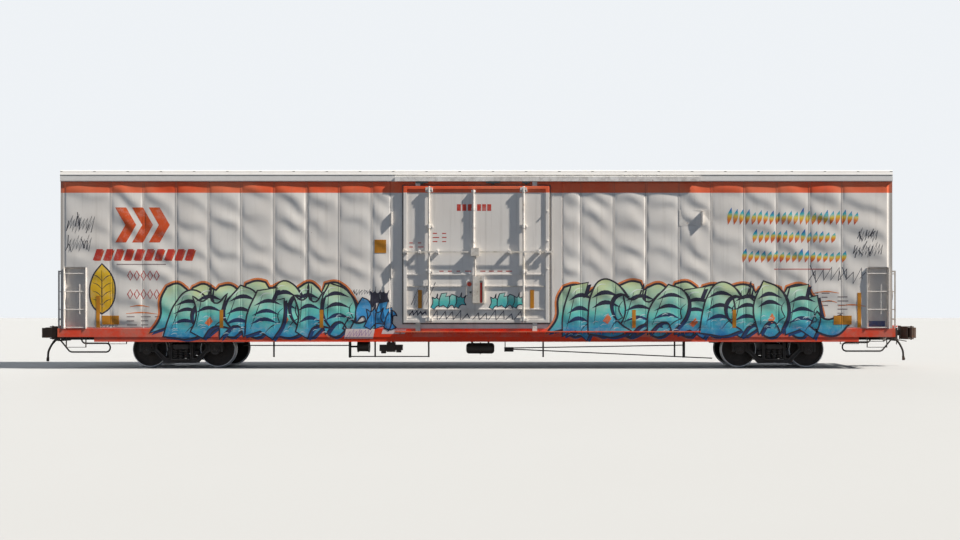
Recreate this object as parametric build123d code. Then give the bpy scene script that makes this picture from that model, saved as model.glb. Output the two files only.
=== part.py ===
from build123d import *
import os

# Insulated refrigerator car with one plug door on each side, on two four-wheel trucks.
# Millimetres. X runs along the car, Y across it and Z up. The origin is under the middle
# of the car, level with the lowest points of the wheel flanges. The near side is at -Y,
# and the far side is the same side turned half a turn about Z.

# Wheels and trucks
FLANGE = 25.4
WHEEL_RADIUS = 457.2
BACK_TO_BACK = 1353.0
RIM_WIDTH = 145.0
RIM_DEPTH = 59.0
WHEEL_PLATE = 30.0
WHEEL_HUB_RADIUS = 152.0
AXLE_RADIUS = 88.0
WHEELBASE = 1778.0
TRUCK_INSET = 2960.0


def over_rail(height):
    """Height over the origin of a point that is this far above the top of the rail."""
    return FLANGE + height


# Car body
BODY_LENGTH = 21380.0
BODY_WIDTH = 3060.0
WALL = 150.0
END_WALL = 255.0
END_RIB = 45.0
END_RIB_HALF = 850.0
END_RIB_COUNT = 11
CORNER_POST = 100.0
SILL_FOOT = over_rail(671.0)
SILL_STEP = over_rail(795.0)
SIDE_FOOT = over_rail(1013.0)
FLOOR_TOP = over_rail(1220.0)
FASCIA_FOOT = over_rail(4791.0)
SIDE_TOP = over_rail(4907.0)
FASCIA = 14.0
EAVE = over_rail(5056.0)
RIDGE = over_rail(5137.0)
EAVE_REACH = 30.0
ROOF_RIB = 18.0
ROOF_RIB_WIDTH = 60.0
ROOF_RIB_COUNT = 26
SEAT = 0.3

# Doorway, plug door and its gear
DOORWAY_WIDTH = 3658.0
DOORWAY_HEIGHT = 3251.0
THRESHOLD = 15.0
DOOR_LAP = 46.0
DOOR_FOOT = over_rail(1155.0)
DOOR_HEAD = over_rail(4675.0)
DOOR_PROUD = 58.0
DOOR_GAP = 12.0
DOOR_FRAME = 60.0
DOOR_RAIL = over_rail(2403.0)
UPPER_PANEL_DEPTH = 16.0
LOWER_PANEL_DEPTH = 26.0
FOOT_PANEL_DEPTH = 34.0
POST_GAP = 60.0
POST_WIDTH = 260.0
POST_PROUD = 6.0
STOP_REACH = 66.0
TRACK_OVERHANG = 215.0
TRACK_REACH = 88.0
TRACK_PLATE = 10.0
LEDGE_TOP = over_rail(930.0)
LEDGE_REACH = 62.0
GUSSET_PITCH = 304.8
ROLLER_ARM = 1500.0
LOCK_PIPE = 56.0
LOCK_PIPE_OUT = 1212.0
PIPE_OFF_DOOR = 36.0
BAR_HEIGHT = over_rail(2979.0)
GRAB = 20.0

# Ladders, steps and platforms
WELL_LENGTH = 548.0
WELL_DEPTH = 100.0
WELL_TOP = over_rail(2580.0)
RUNG_PITCH = 462.0
RUNG_COUNT = 4
RUNG = 22.0
STILE = 40.0
GRAB_BAR_RIGHT = 350.0
GRAB_BAR_LEFT = 150.0
STILE_THICK = 14.0
END_LADDER_OFF = 140.0
END_LADDER_WIDTH = 460.0
STEP_FOOT = over_rail(525.0)
STEP_BAR = 14.0
STEP_WIDTH = 50.0
PLATFORM_HALF = 760.0
PLATFORM_OFF = 115.0
PLATFORM_DEPTH = 230.0
PLATFORM_THICK = 34.0
PLATFORM_BAR = 14.0
PLATFORM_BARS = 5

# Underframe
CENTRE_SILL_INSIDE = 327.0
CENTRE_SILL_PLATE = 14.0
CENTRE_SILL_FOOT = over_rail(690.0)
CENTRE_SILL_FLANGE = 90.0
SILL_EXTENSION = 420.0
STRIKER = 70.0
STRIKER_FLANGE = 75.0
STRIKER_LIP = 30.0
SIDE_SILL_DEPTH = 100.0
SIDE_SILL_PLATE = 12.0
SIDE_SILL_PROUD = 15.0
SIDE_SILL_LIP = 80.0
SKIRT_INSET = 860.0
END_SILL = 75.0
BOLSTER_HALF = 190.0
BOLSTER_ARM_FOOT = over_rail(860.0)
BOLSTER_COVER = 14.0
BOLSTER_COVER_HALF = 480.0
TRUCK_ROOM = 1530.0
BEARERS_PER_HALF = 5
OUTER_BEARER_OUT = 1750.0
BEARER_WEB = 12.0
BEARER_FLANGE = 120.0
BEARER_END_FOOT = over_rail(870.0)
JACKING_PAD = 220.0
JACKING_PAD_THICK = 25.0

# Coupler and cushion unit
COUPLER_HEIGHT = over_rail(876.0)
COUPLER_REACH = 950.0
COUPLER_LENGTH = 1080.0
COUPLER_PIN_RADIUS = 42.0
SHANK_WIDTH = 130.0
SHANK_HEIGHT = 150.0
SHANK_PLAY = 6.0
CUSHION_LENGTH = 760.0
KNUCKLE_HALF = 139.0
KNUCKLE_PIN_RADIUS = 21.0
KNUCKLE_PIN_X = -70.0
KNUCKLE_PIN_Y = -150.0
KNUCKLE_PLAY = 6.0
LUG_HALF = 172.0

# Truck castings
CENTRE_PLATE_FOOT = over_rail(654.0)
CENTRE_PLATE_RADIUS = 203.0
SIDE_BEARING_OUT = 635.0
SIDE_BEARING_TOP = over_rail(648.0)
SIDE_BEARING_GAP = 7.0
JOURNAL_CENTRE = 1003.0
FRAME_THICK = 150.0
FRAME_WEB = 56.0
FRAME_LIP = 26.0
FRAME_TOP = over_rail(790.0)
FRAME_FOOT = over_rail(105.0)
FRAME_SHOULDER = 90.0
WINDOW_HALF = 232.0
WINDOW_TOP = over_rail(645.0)
COLUMN = 68.0
JAW = 140.0
JAW_LEG = 56.0
JAW_FOOT = over_rail(395.0)
CUP_RADIUS = 127.0
CUP_LENGTH = 180.0
JOURNAL_RADIUS = 79.0
END_CAP = 24.0
ADAPTER = 30.0
SPRING_RADIUS = 66.0
SPRING_PITCH = 142.0
SPRING_FOOT = over_rail(215.0)
SPRING_HEAD = over_rail(470.0)
TRUCK_BOLSTER_HALF = 190.0
BRAKE_BEAM_HEIGHT = over_rail(360.0)
SHOE_GAP = 7.0
SHOE_THICK = 40.0
SHOE_WIDTH = 84.0

# Brake equipment under the near side, and the brake pipe
GEAR_LINE = -900.0
HANGER_WIDTH = 50.0
HANGER_THICK = 12.0
ROD = 28.0
PIPE = 42.0
PIPE_OUT = 350.0
PIPE_HEIGHT = over_rail(850.0)
HAIRPIN_UPPER = over_rail(600.0)
HAIRPIN_LOWER = over_rail(368.0)
COCK_HEIGHT = over_rail(700.0)
HOSE = 54.0

body_end = BODY_LENGTH / 2
sheet = BODY_WIDTH / 2
lining = sheet - WALL
sill_face = sheet + SIDE_SILL_PROUD
sill_back = sill_face - SIDE_SILL_DEPTH
lip_edge = sheet - SIDE_SILL_LIP
skirt_end = body_end - SKIRT_INSET
sill_end = body_end + SILL_EXTENSION
sill_inside = CENTRE_SILL_INSIDE / 2
sill_web = sill_inside + CENTRE_SILL_PLATE
sill_toe = sill_web + CENTRE_SILL_FLANGE
striker_edge = sill_inside + STRIKER_FLANGE
truck_centre = body_end - TRUCK_INSET
inner_reach = truck_centre - TRUCK_ROOM
outer_bearer = truck_centre + OUTER_BEARER_OUT
half_base = WHEELBASE / 2
axle_height = over_rail(WHEEL_RADIUS)
jaw_roof = axle_height + CUP_RADIUS + ADAPTER
pulling_face = body_end + COUPLER_REACH
coupler_pin = pulling_face - COUPLER_LENGTH
doorway_foot = FLOOR_TOP + THRESHOLD
doorway_head = doorway_foot + DOORWAY_HEIGHT
half_doorway = DOORWAY_WIDTH / 2
door_edge = half_doorway + DOOR_LAP
door_face = sheet + DOOR_PROUD
pipe_line = door_face + PIPE_OFF_DOOR
post_start = door_edge + POST_GAP
post_end = post_start + POST_WIDTH
post_face = sheet + POST_PROUD
track_start = -door_edge - TRACK_OVERHANG
track_end = 3 * door_edge + 125
well_end = body_end - CORNER_POST
well_start = well_end - WELL_LENGTH
well_back = sheet - WELL_DEPTH
rung_foot = SIDE_FOOT + 27
ladder_top = rung_foot + RUNG_PITCH * (RUNG_COUNT - 1)
lever_height = SILL_STEP - 45
cock_place = sill_end + STRIKER + 60


def block(x_from, x_to, y_from, y_to, z_from, z_to):
    """Box between two opposite corners."""
    size = Box(x_to - x_from, y_to - y_from, z_to - z_from)
    return Pos((x_from + x_to) / 2, (y_from + y_to) / 2, (z_from + z_to) / 2) * size


def cut_along_y(points, y_from, y_to):
    """Outline of (x, z) points, made solid between two y values."""
    outline = Pos(0, y_from, 0) * (Plane.XZ * Polygon(*points, align=None))
    return extrude(outline, amount=y_to - y_from, dir=(0, 1, 0))


def cut_along_x(points, x_from, x_to):
    """Outline of (y, z) points, made solid between two x values."""
    outline = Pos(x_from, 0, 0) * (Plane.YZ * Polygon(*points, align=None))
    return extrude(outline, amount=x_to - x_from, dir=(1, 0, 0))


def cut_along_z(points, z_from, z_to):
    """Outline of (x, y) points, made solid between two heights."""
    outline = Pos(0, 0, z_from) * Polygon(*points, align=None)
    return extrude(outline, amount=z_to - z_from, dir=(0, 0, 1))


def rod(start, end, diameter, sides=12):
    """Thin bar of many flat sides from one point to another."""
    run = Vector(*end) - Vector(*start)
    return extrude(Plane(origin=start, z_dir=run) * RegularPolygon(diameter / 2, sides), amount=run.length)


def tube(points, diameter, bends, sides=12):
    """Bar of many flat sides along points, with one bend radius or a list of them."""
    path = FilletPolyline(*points, radius=bends)
    return sweep(Plane(origin=path @ 0, z_dir=path % 0) * RegularPolygon(diameter / 2, sides), path=path)


def x_cylinder(radius, length):
    """Cylinder about X, centred at the origin."""
    return Rot(0, 90, 0) * Cylinder(radius, length)


def y_cylinder(radius, length):
    """Cylinder about Y, centred at the origin."""
    return Rot(90, 0, 0) * Cylinder(radius, length)


def turned(shape):
    """The same piece on the car's other side, half a turn about Z."""
    return Rot(0, 0, 180) * shape


def flipped_x(shape):
    return mirror(shape, about=Plane.YZ)


def flipped_y(shape):
    return mirror(shape, about=Plane.XZ)


def joined(pieces):
    """One solid of pieces that overlap."""
    whole = pieces[0]
    for piece in pieces[1:]:
        whole += piece
    return whole


def four_corners(shape):
    """A piece at all four corners of the car."""
    near = [shape, flipped_x(shape)]
    return near + [flipped_y(piece) for piece in near]


def both_sides(*pieces):
    """Pieces of one side, and their like on the other side."""
    return list(pieces) + [turned(piece) for piece in pieces]


def save(node, *pieces):
    """Write one node with its solids."""
    solids = [solid for piece in pieces for solid in piece.solids()]
    export_step(Compound(children=solids), f"parts/{node}.step")


os.makedirs("parts", exist_ok=True)


# Underframe
def centre_sill():
    """Hat section from end to end, open below, with holes where the brake pipe crosses it."""
    top = SIDE_FOOT
    foot = CENTRE_SILL_FOOT
    plate = CENTRE_SILL_PLATE
    outline = [(-sill_toe, foot), (-sill_inside, foot), (-sill_inside, top - plate), (sill_inside, top - plate),
               (sill_inside, foot), (sill_toe, foot), (sill_toe, foot + plate), (sill_web, foot + plate),
               (sill_web, top), (-sill_web, top), (-sill_web, foot + plate), (-sill_toe, foot + plate)]
    crossing = Pos(0, 0, PIPE_HEIGHT) * y_cylinder(PIPE / 2 + 5, 2 * sill_toe)
    return cut_along_x(outline, -sill_end, sill_end) - crossing


def striker():
    """Casting at the end of the centre sill, with the mouth that the coupler swings in."""
    face = sill_end + STRIKER
    foot = CENTRE_SILL_FOOT - 30
    casting = block(sill_end, face, -striker_edge, striker_edge, foot, SIDE_FOOT)
    casting += cut_along_y([(sill_end, foot), (face + STRIKER_LIP, foot + 20), (face + STRIKER_LIP, foot + 55),
                            (sill_end, foot + 55)], -striker_edge + 30, striker_edge - 30)
    mouth = block(sill_end - 1, face + STRIKER_LIP + 1, -sill_inside, sill_inside,
                  COUPLER_HEIGHT - SHANK_HEIGHT / 2 - SHANK_PLAY, SIDE_FOOT - 40)
    return casting - mouth


def cushion_unit():
    """Cushion unit and yoke between the sill's webs, with the pin that the coupler turns on."""
    side = sill_inside - 6
    half_gap = SHANK_HEIGHT / 2 + SHANK_PLAY
    strap = half_gap + 28
    back = coupler_pin - SHANK_WIDTH / 2 - 60
    front = coupler_pin + 90
    unit = block(back - CUSHION_LENGTH, back, -side, side, CENTRE_SILL_FOOT + 10, SIDE_FOOT - CENTRE_SILL_PLATE)
    yoke = block(back - 1, front, -70, 70, COUPLER_HEIGHT - strap, COUPLER_HEIGHT + strap)
    yoke -= block(back + 12, front + 1, -71, 71, COUPLER_HEIGHT - half_gap, COUPLER_HEIGHT + half_gap)
    pin = Pos(coupler_pin, 0, COUPLER_HEIGHT) * Cylinder(COUPLER_PIN_RADIUS, 2 * half_gap + 28)
    return unit + yoke + pin


def body_bolster():
    """Arms from the centre sill to the side sills, hollowed on both sides, and the centre plate."""
    flange_top = CENTRE_SILL_FOOT + CENTRE_SILL_PLATE
    knee = JOURNAL_CENTRE - 190
    arm = cut_along_x([(sill_web, SIDE_FOOT), (sill_web, flange_top), (sill_toe, flange_top),
                       (sill_toe, CENTRE_SILL_FOOT), (BOLSTER_COVER_HALF, CENTRE_SILL_FOOT),
                       (knee, BOLSTER_ARM_FOOT), (sill_back, BOLSTER_ARM_FOOT), (sill_back, SIDE_FOOT)], -BOLSTER_HALF, BOLSTER_HALF)
    arm += block(-120, 120, SIDE_BEARING_OUT - 50, SIDE_BEARING_OUT + 50, SIDE_BEARING_TOP + SIDE_BEARING_GAP,
                 BOLSTER_ARM_FOOT - 15)
    pocket = [(sill_web + 12, SIDE_FOOT - 14), (sill_web + 12, flange_top + 30), (sill_toe + 20, CENTRE_SILL_FOOT + 44),
              (knee, BOLSTER_ARM_FOOT + 16), (sill_back - 12, BOLSTER_ARM_FOOT + 16), (sill_back - 12, SIDE_FOOT - 14)]
    arm -= cut_along_x(pocket, BOLSTER_HALF - 60, BOLSTER_HALF + 1)
    arm -= cut_along_x(pocket, -BOLSTER_HALF - 1, 60 - BOLSTER_HALF)
    arm -= Pos(0, PIPE_OUT, PIPE_HEIGHT) * x_cylinder(PIPE / 2 + 5, 3 * BOLSTER_HALF)
    cover = block(-BOLSTER_HALF, BOLSTER_HALF, -BOLSTER_COVER_HALF, BOLSTER_COVER_HALF,
                  CENTRE_SILL_FOOT - BOLSTER_COVER, CENTRE_SILL_FOOT)
    plate_height = CENTRE_SILL_FOOT - BOLSTER_COVER - CENTRE_PLATE_FOOT
    plate = Pos(0, 0, CENTRE_PLATE_FOOT + plate_height / 2) * Cylinder(CENTRE_PLATE_RADIUS, plate_height)
    return arm + flipped_y(arm) + cover + plate


def bearer(place):
    """One tapered cross bearer from the centre sill to a side sill, with the brake pipe's hole."""
    inner_foot = CENTRE_SILL_FOOT + CENTRE_SILL_PLATE + 30
    half_web = BEARER_WEB / 2
    half_flange = BEARER_FLANGE / 2
    web = [(sill_web, SIDE_FOOT), (sill_web, inner_foot), (sill_back, BEARER_END_FOOT), (sill_back, SIDE_FOOT)]
    flange = [(sill_web, inner_foot), (sill_web, inner_foot + BEARER_WEB), (sill_back, BEARER_END_FOOT + BEARER_WEB),
              (sill_back, BEARER_END_FOOT)]
    rib = cut_along_x(web, place - half_web, place + half_web)
    rib += cut_along_x(flange, place - half_flange, place + half_flange)
    hole = rod((place - BEARER_FLANGE, PIPE_OUT, PIPE_HEIGHT), (place + BEARER_FLANGE, PIPE_OUT, PIPE_HEIGHT), PIPE + 14)
    return rib - hole


def side_sill():
    """Channel under the far side wall, with a skirt and its lip below."""
    plate = SIDE_SILL_PLATE
    channel = [(sill_face, SILL_STEP), (sill_face, SIDE_FOOT), (sill_back, SIDE_FOOT), (sill_back, SIDE_FOOT - plate),
               (sill_face - plate, SIDE_FOOT - plate), (sill_face - plate, SILL_STEP + plate),
               (sill_back, SILL_STEP + plate), (sill_back, SILL_STEP)]
    skirt = [(lip_edge, SILL_FOOT), (sheet, SILL_FOOT), (sheet, SILL_STEP + 1), (sheet - plate, SILL_STEP + 1),
             (sheet - plate, SILL_FOOT + plate), (lip_edge, SILL_FOOT + plate)]
    return cut_along_x(channel, -body_end, body_end) + cut_along_x(skirt, -skirt_end, skirt_end)


def end_sill():
    """End sill at one side of the centre sill, a channel that opens towards the wheels."""
    plate = SIDE_SILL_PLATE
    sill = block(body_end, body_end + END_SILL, sill_web, sill_face, SILL_STEP, SIDE_FOOT)
    hollow = block(body_end - 1, body_end + END_SILL - plate, sill_web + plate, sill_face - plate,
                   SILL_STEP + plate, SIDE_FOOT - plate)
    return sill - hollow


def jacking_pad():
    """Pad under the side sill beside the bolster, where the car is lifted."""
    return block(inner_reach - JACKING_PAD, inner_reach, lip_edge, sheet, SILL_FOOT - JACKING_PAD_THICK, SILL_FOOT)


save("centre_sill", centre_sill())
save("strikers", *both_sides(striker()))
save("cushion_units", *both_sides(cushion_unit()))
save("body_bolsters", *both_sides(Pos(truck_centre, 0, 0) * body_bolster()))
bearer_pitch = inner_reach / BEARERS_PER_HALF
bearer_places = [bearer_pitch * (number + 0.5) for number in range(BEARERS_PER_HALF)] + [outer_bearer]
save("cross_bearers", *[piece for place in bearer_places for piece in four_corners(bearer(place))])
save("side_sills", *both_sides(side_sill()))
save("end_sills", *four_corners(end_sill()))
save("jacking_pads", *four_corners(jacking_pad()))


# Body shell
def side_wall():
    """Near side wall, as thick as its insulation, with the doorway and two ladder wells."""
    wall = block(-well_end, well_end, -sheet, -lining, SIDE_FOOT, SIDE_TOP)
    wall -= block(-half_doorway, half_doorway, -sheet - 1, -lining + 1, doorway_foot, doorway_head)
    well = block(well_start, well_end + 1, -sheet - 1, -well_back, SIDE_FOOT - 1, WELL_TOP)
    return wall - well - flipped_x(well)


def end_wall():
    """End wall between the side walls, with pressed ribs across it."""
    face = body_end - END_RIB
    wall = block(face - END_WALL, face, -lining, lining, SIDE_FOOT, SIDE_TOP)
    pitch = (SIDE_TOP - SIDE_FOOT) / END_RIB_COUNT
    ribs = []
    for number in range(END_RIB_COUNT):
        middle = SIDE_FOOT + pitch * (number + 0.5)
        outline = [(face - 1, middle - 0.31 * pitch), (body_end, middle - 0.12 * pitch),
                   (body_end, middle + 0.12 * pitch), (face - 1, middle + 0.31 * pitch)]
        ribs.append(cut_along_y(outline, -END_RIB_HALF, END_RIB_HALF))
    return wall + ribs


def roof():
    """Insulated roof with its ridge, and raised ribs across it."""
    eave_side = sheet + EAVE_REACH
    outline = [(-eave_side, SIDE_TOP), (eave_side, SIDE_TOP), (eave_side, EAVE - ROOF_RIB), (0, RIDGE - ROOF_RIB),
               (-eave_side, EAVE - ROOF_RIB)]
    shell = cut_along_x(outline, -body_end, body_end)
    rib_outline = [(-eave_side, EAVE - ROOF_RIB - 2), (eave_side, EAVE - ROOF_RIB - 2), (eave_side, EAVE), (0, RIDGE),
                   (-eave_side, EAVE)]
    half_rib = ROOF_RIB_WIDTH / 2
    pitch = (BODY_LENGTH - ROOF_RIB_WIDTH) / (ROOF_RIB_COUNT - 1)
    ribs = []
    for number in range(ROOF_RIB_COUNT):
        place = -body_end + half_rib + pitch * number
        ribs.append(cut_along_x(rib_outline, place - half_rib, place + half_rib))
    return shell + ribs


def top_rail(x_from, x_to):
    """Strip along the top of the near side, proud of the side sheet."""
    return block(x_from, x_to, -sheet - FASCIA, -sheet, FASCIA_FOOT, SIDE_TOP)


floor_end = body_end - END_RIB - END_WALL
save("floor", block(-floor_end, floor_end, -lining, lining, SIDE_FOOT, FLOOR_TOP))
near_wall = side_wall()
save("side_wall_right", near_wall)
save("side_wall_left", turned(near_wall))
save("end_wall_b", end_wall())
save("end_wall_a", turned(end_wall()))
save("corner_posts", *four_corners(block(well_end, body_end, lining, sheet, SIDE_FOOT, SIDE_TOP)))
save("roof", roof())
save("top_rails", *both_sides(top_rail(-body_end, track_start), top_rail(track_end, body_end)))


# Door, tracks and door gear
def upper_track():
    """Hood over the door's rollers: a plate on the wall, a top flange and a lip."""
    lip = -sheet - TRACK_REACH
    outline = [(-sheet, FASCIA_FOOT), (-sheet, SIDE_TOP), (lip, SIDE_TOP), (lip, FASCIA_FOOT),
               (lip + TRACK_PLATE, FASCIA_FOOT), (lip + TRACK_PLATE, SIDE_TOP - TRACK_PLATE),
               (-sheet - TRACK_PLATE, SIDE_TOP - TRACK_PLATE), (-sheet - TRACK_PLATE, FASCIA_FOOT)]
    return cut_along_x(outline, track_start, track_end)


def lower_track():
    """Ledge that the door's lower rollers run on, with gussets under it."""
    edge = -sill_face - LEDGE_REACH
    ledge = block(track_start, track_end, edge, -sill_face, LEDGE_TOP - 12, LEDGE_TOP)
    lip = block(track_start, track_end, edge, edge + 10, LEDGE_TOP - 1, LEDGE_TOP + 18)
    gusset = [(-sill_face, LEDGE_TOP - 11), (edge + 12, LEDGE_TOP - 11), (-sill_face, LEDGE_TOP - 70)]
    gussets = []
    for number in range(int((track_end - track_start) // GUSSET_PITCH)):
        place = track_start + GUSSET_PITCH * (number + 0.4)
        gussets.append(cut_along_x(gusset, place - 5, place + 5))
    return ledge + lip + gussets


def plug_door():
    """Door leaf: the plug fills the doorway, and its outer plate laps over the wall.

    The outer plate has two tall panels over a deep lower one and a foot panel.
    """
    plug = block(-half_doorway + DOOR_GAP, half_doorway - DOOR_GAP, -sheet - 1, -lining,
                 doorway_foot + DOOR_GAP, doorway_head - DOOR_GAP)
    leaf = block(-door_edge, door_edge, -door_face, -sheet - SEAT, DOOR_FOOT, DOOR_HEAD)
    inner = door_edge - DOOR_FRAME
    head = DOOR_HEAD - DOOR_FRAME
    sill = over_rail(1514.0)
    panels = [(-inner, -98.0, DOOR_RAIL + 14, head, UPPER_PANEL_DEPTH),
              (-46.0, inner, DOOR_RAIL + 14, head, UPPER_PANEL_DEPTH),
              (-inner, inner, sill, DOOR_RAIL - 14, LOWER_PANEL_DEPTH),
              (-inner, inner, over_rail(1290.0), sill - 14, FOOT_PANEL_DEPTH)]
    for x_from, x_to, z_from, z_to, depth in panels:
        leaf -= block(x_from, x_to, -door_face - 1, -door_face + depth, z_from, z_to)
    return plug + leaf


def lock_pipe(place):
    """One upright locking pipe with its end brackets and the guides in the panels."""
    pipe = rod((place, -pipe_line, DOOR_FOOT + 15), (place, -pipe_line, DOOR_HEAD - 15), LOCK_PIPE, 24)
    for z in (DOOR_FOOT + 85, DOOR_HEAD - 77):
        pipe += block(place - 85, place + 85, -pipe_line - 30, -door_face, z - 35, z + 35)
    guides = [(3648.0, UPPER_PANEL_DEPTH), (2478.0, UPPER_PANEL_DEPTH), (2098.0, LOWER_PANEL_DEPTH)]
    for height, depth in guides:
        z = over_rail(height)
        pipe += block(place - 60, place + 60, -pipe_line - 12, -door_face + depth, z - 22, z + 22)
    return pipe


def door_gear():
    """Locking pipes, operating bar, gear box, handle box and pull box of the near door."""
    face = -door_face
    pipe_front = -pipe_line - LOCK_PIPE / 2
    deep = face + LOWER_PANEL_DEPTH
    bar = block(-door_edge, door_edge + 100, pipe_front - 16, pipe_front + 2, BAR_HEIGHT - 20, BAR_HEIGHT + 20)
    for place in (-door_edge + 30, door_edge - 30):
        bar += block(place - 30, place + 30, pipe_front - 1, face, BAR_HEIGHT - 55, BAR_HEIGHT + 55)
    gear_box = block(-131, 75, pipe_front - 30, face, BAR_HEIGHT - 103, BAR_HEIGHT + 103)
    housing = block(-89, 216, face - 70, deep, over_rail(1668.0), over_rail(2350.0))
    housing -= block(90, 166, face - 71, face - 20, over_rail(1690.0), over_rail(2240.0))
    handle = block(112, 144, face - 62, face - 32, over_rail(1700.0), over_rail(2180.0))
    handle += block(112, 144, face - 62, face - 10, over_rail(2140.0), over_rail(2180.0))
    pull_box = block(-258, -100, face - 36, deep, over_rail(1797.0), over_rail(2233.0))
    middle_bar = block(-door_edge + DOOR_FRAME, door_edge - DOOR_FRAME, face + 2, deep - 3,
                       over_rail(2084.0), over_rail(2112.0))
    link = rod((-28, -pipe_line, over_rail(2340.0)), (-28, -pipe_line, BAR_HEIGHT - 100), 34.0)
    return joined([lock_pipe(-LOCK_PIPE_OUT), bar, lock_pipe(LOCK_PIPE_OUT), gear_box, link, housing, handle,
                   middle_bar, pull_box])


def roller_arms():
    """Arms that carry the near door: two down to the ledge, two up into the hood."""
    arms = []
    for place in (-ROLLER_ARM, ROLLER_ARM):
        for z_from, z_to in ((LEDGE_TOP + SEAT, DOOR_FOOT), (DOOR_HEAD, SIDE_TOP - TRACK_PLATE - 20)):
            arms.append(block(place - 60, place + 60, -sheet - 50, -sheet - 20, z_from, z_to))
    return arms


def door_stops():
    """Stops beside the closed door, the patch plate where it stops when open, and a grab iron."""
    stops = [block(-post_end + 5, -post_end + 25, -sheet - STOP_REACH, -post_face, over_rail(low), over_rail(high))
             for low, high in ((3686.0, 4007.0), (2311.0, 2658.0))]
    stop = track_end + 50
    patch = block(stop - 590, stop + 190, -sheet - 8, -sheet, over_rail(3648.0), over_rail(4059.0))
    patch += block(stop - 16, stop + 16, -sheet - 84, -sheet - 7, over_rail(3686.0), over_rail(4033.0))
    place = -post_end - 31
    low = over_rail(1411.0)
    high = over_rail(2298.0)
    grab = tube([(place, -sheet, high), (place, -sheet - 60, high), (place, -sheet - 60, low), (place, -sheet, low)],
                GRAB, 28.0, 8)
    return stops + [patch, grab]


door_post = block(post_start, post_end, -post_face, -sheet, SIDE_FOOT, FASCIA_FOOT)
save("door_posts", *both_sides(door_post, flipped_x(door_post)))
save("door_tracks", *both_sides(upper_track(), lower_track()))
near_door = plug_door()
save("plug_door_right", near_door)
save("plug_door_left", turned(near_door))
near_gear = [door_gear()] + roller_arms()
save("door_gear_right", *near_gear)
save("door_gear_left", *[turned(piece) for piece in near_gear])
save("door_stops", *both_sides(*door_stops()))


# Ladders, steps and platforms
def rungs(start, end):
    """A ladder's rungs between two (x, y) places."""
    heights = [rung_foot + RUNG_PITCH * number for number in range(RUNG_COUNT)]
    return [rod((*start, z), (*end, z), RUNG) for z in heights]


def corner_ladder(bar_place):
    """Rungs across the near side's ladder well, with an upright grab bar between them.

    The stiles stand on the side sheet and on the corner post, one at each edge of the well.
    """
    line = -sheet - STILE / 2
    stiles = [block(place, place + STILE_THICK, -sheet - STILE, -sheet, SIDE_FOOT, WELL_TOP)
              for place in (well_start - STILE_THICK, well_end)]
    grab = well_start + bar_place
    bar = rod((grab, line, rung_foot + 342), (grab, line, rung_foot + 1114), 18.0)
    return joined([stiles[0]] + rungs((well_start - 2, line), (well_end + 2, line)) + [stiles[1], bar])


def end_ladder():
    """Ladder that stands off the end wall at the corner."""
    outer = lining - 20
    inner = outer - END_LADDER_WIDTH
    wall = body_end - END_RIB
    x = wall + END_LADDER_OFF
    high = ladder_top + 80
    stiles = []
    for place in (inner, outer - STILE_THICK):
        stile = block(x, x + STILE, place, place + STILE_THICK, SIDE_FOOT, high)
        for z in (SIDE_FOOT + 220, high - 40):
            stile += block(wall, x + 1, place, place + STILE_THICK, z, z + 40)
        stiles.append(stile)
    middle = x + STILE / 2
    return joined([stiles[0]] + rungs((middle, inner + 2), (middle, outer - 2)) + [stiles[1]])


def sill_step():
    """Stirrup below the ladder well."""
    end = well_end - 30
    outer = block(well_start, end, sheet - STEP_WIDTH, sheet, STEP_FOOT, SILL_STEP)
    inner = block(well_start + STEP_BAR, end - STEP_BAR, sheet - STEP_WIDTH - 1, sheet + 1,
                  STEP_FOOT + STEP_BAR, SILL_STEP + 1)
    return outer - inner


def end_platform():
    """Crossover platform over the coupler, with its open bars and two brackets."""
    face = body_end + END_SILL
    x_from = body_end + PLATFORM_OFF
    x_to = x_from + PLATFORM_DEPTH
    low = SIDE_FOOT + 30
    high = low + PLATFORM_THICK
    bar = PLATFORM_BAR
    deck = block(x_from, x_to, -PLATFORM_HALF, PLATFORM_HALF, low, high)
    slot = (PLATFORM_DEPTH - bar * (PLATFORM_BARS + 1)) / PLATFORM_BARS
    for number in range(PLATFORM_BARS):
        start = x_from + bar + (slot + bar) * number
        deck -= block(start, start + slot, bar - PLATFORM_HALF, -bar / 2, low - 1, high + 1)
        deck -= block(start, start + slot, bar / 2, PLATFORM_HALF - bar, low - 1, high + 1)
    foot = SILL_STEP + 60
    bracket = [(face, low + 1), (x_to, low + 1), (x_to, low - 20), (face + 12, foot), (face, foot)]
    for place in (-640, 620):
        deck += cut_along_y(bracket, place, place + 20)
        deck += block(face, face + 12, place - 30, place + 50, foot, SIDE_FOOT - 10)
    return deck


save("corner_ladders", *both_sides(corner_ladder(GRAB_BAR_RIGHT), flipped_x(corner_ladder(GRAB_BAR_LEFT))))
save("end_ladders", *four_corners(end_ladder()))
save("sill_steps", *four_corners(sill_step()))
save("end_platforms", *both_sides(end_platform()))


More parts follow.
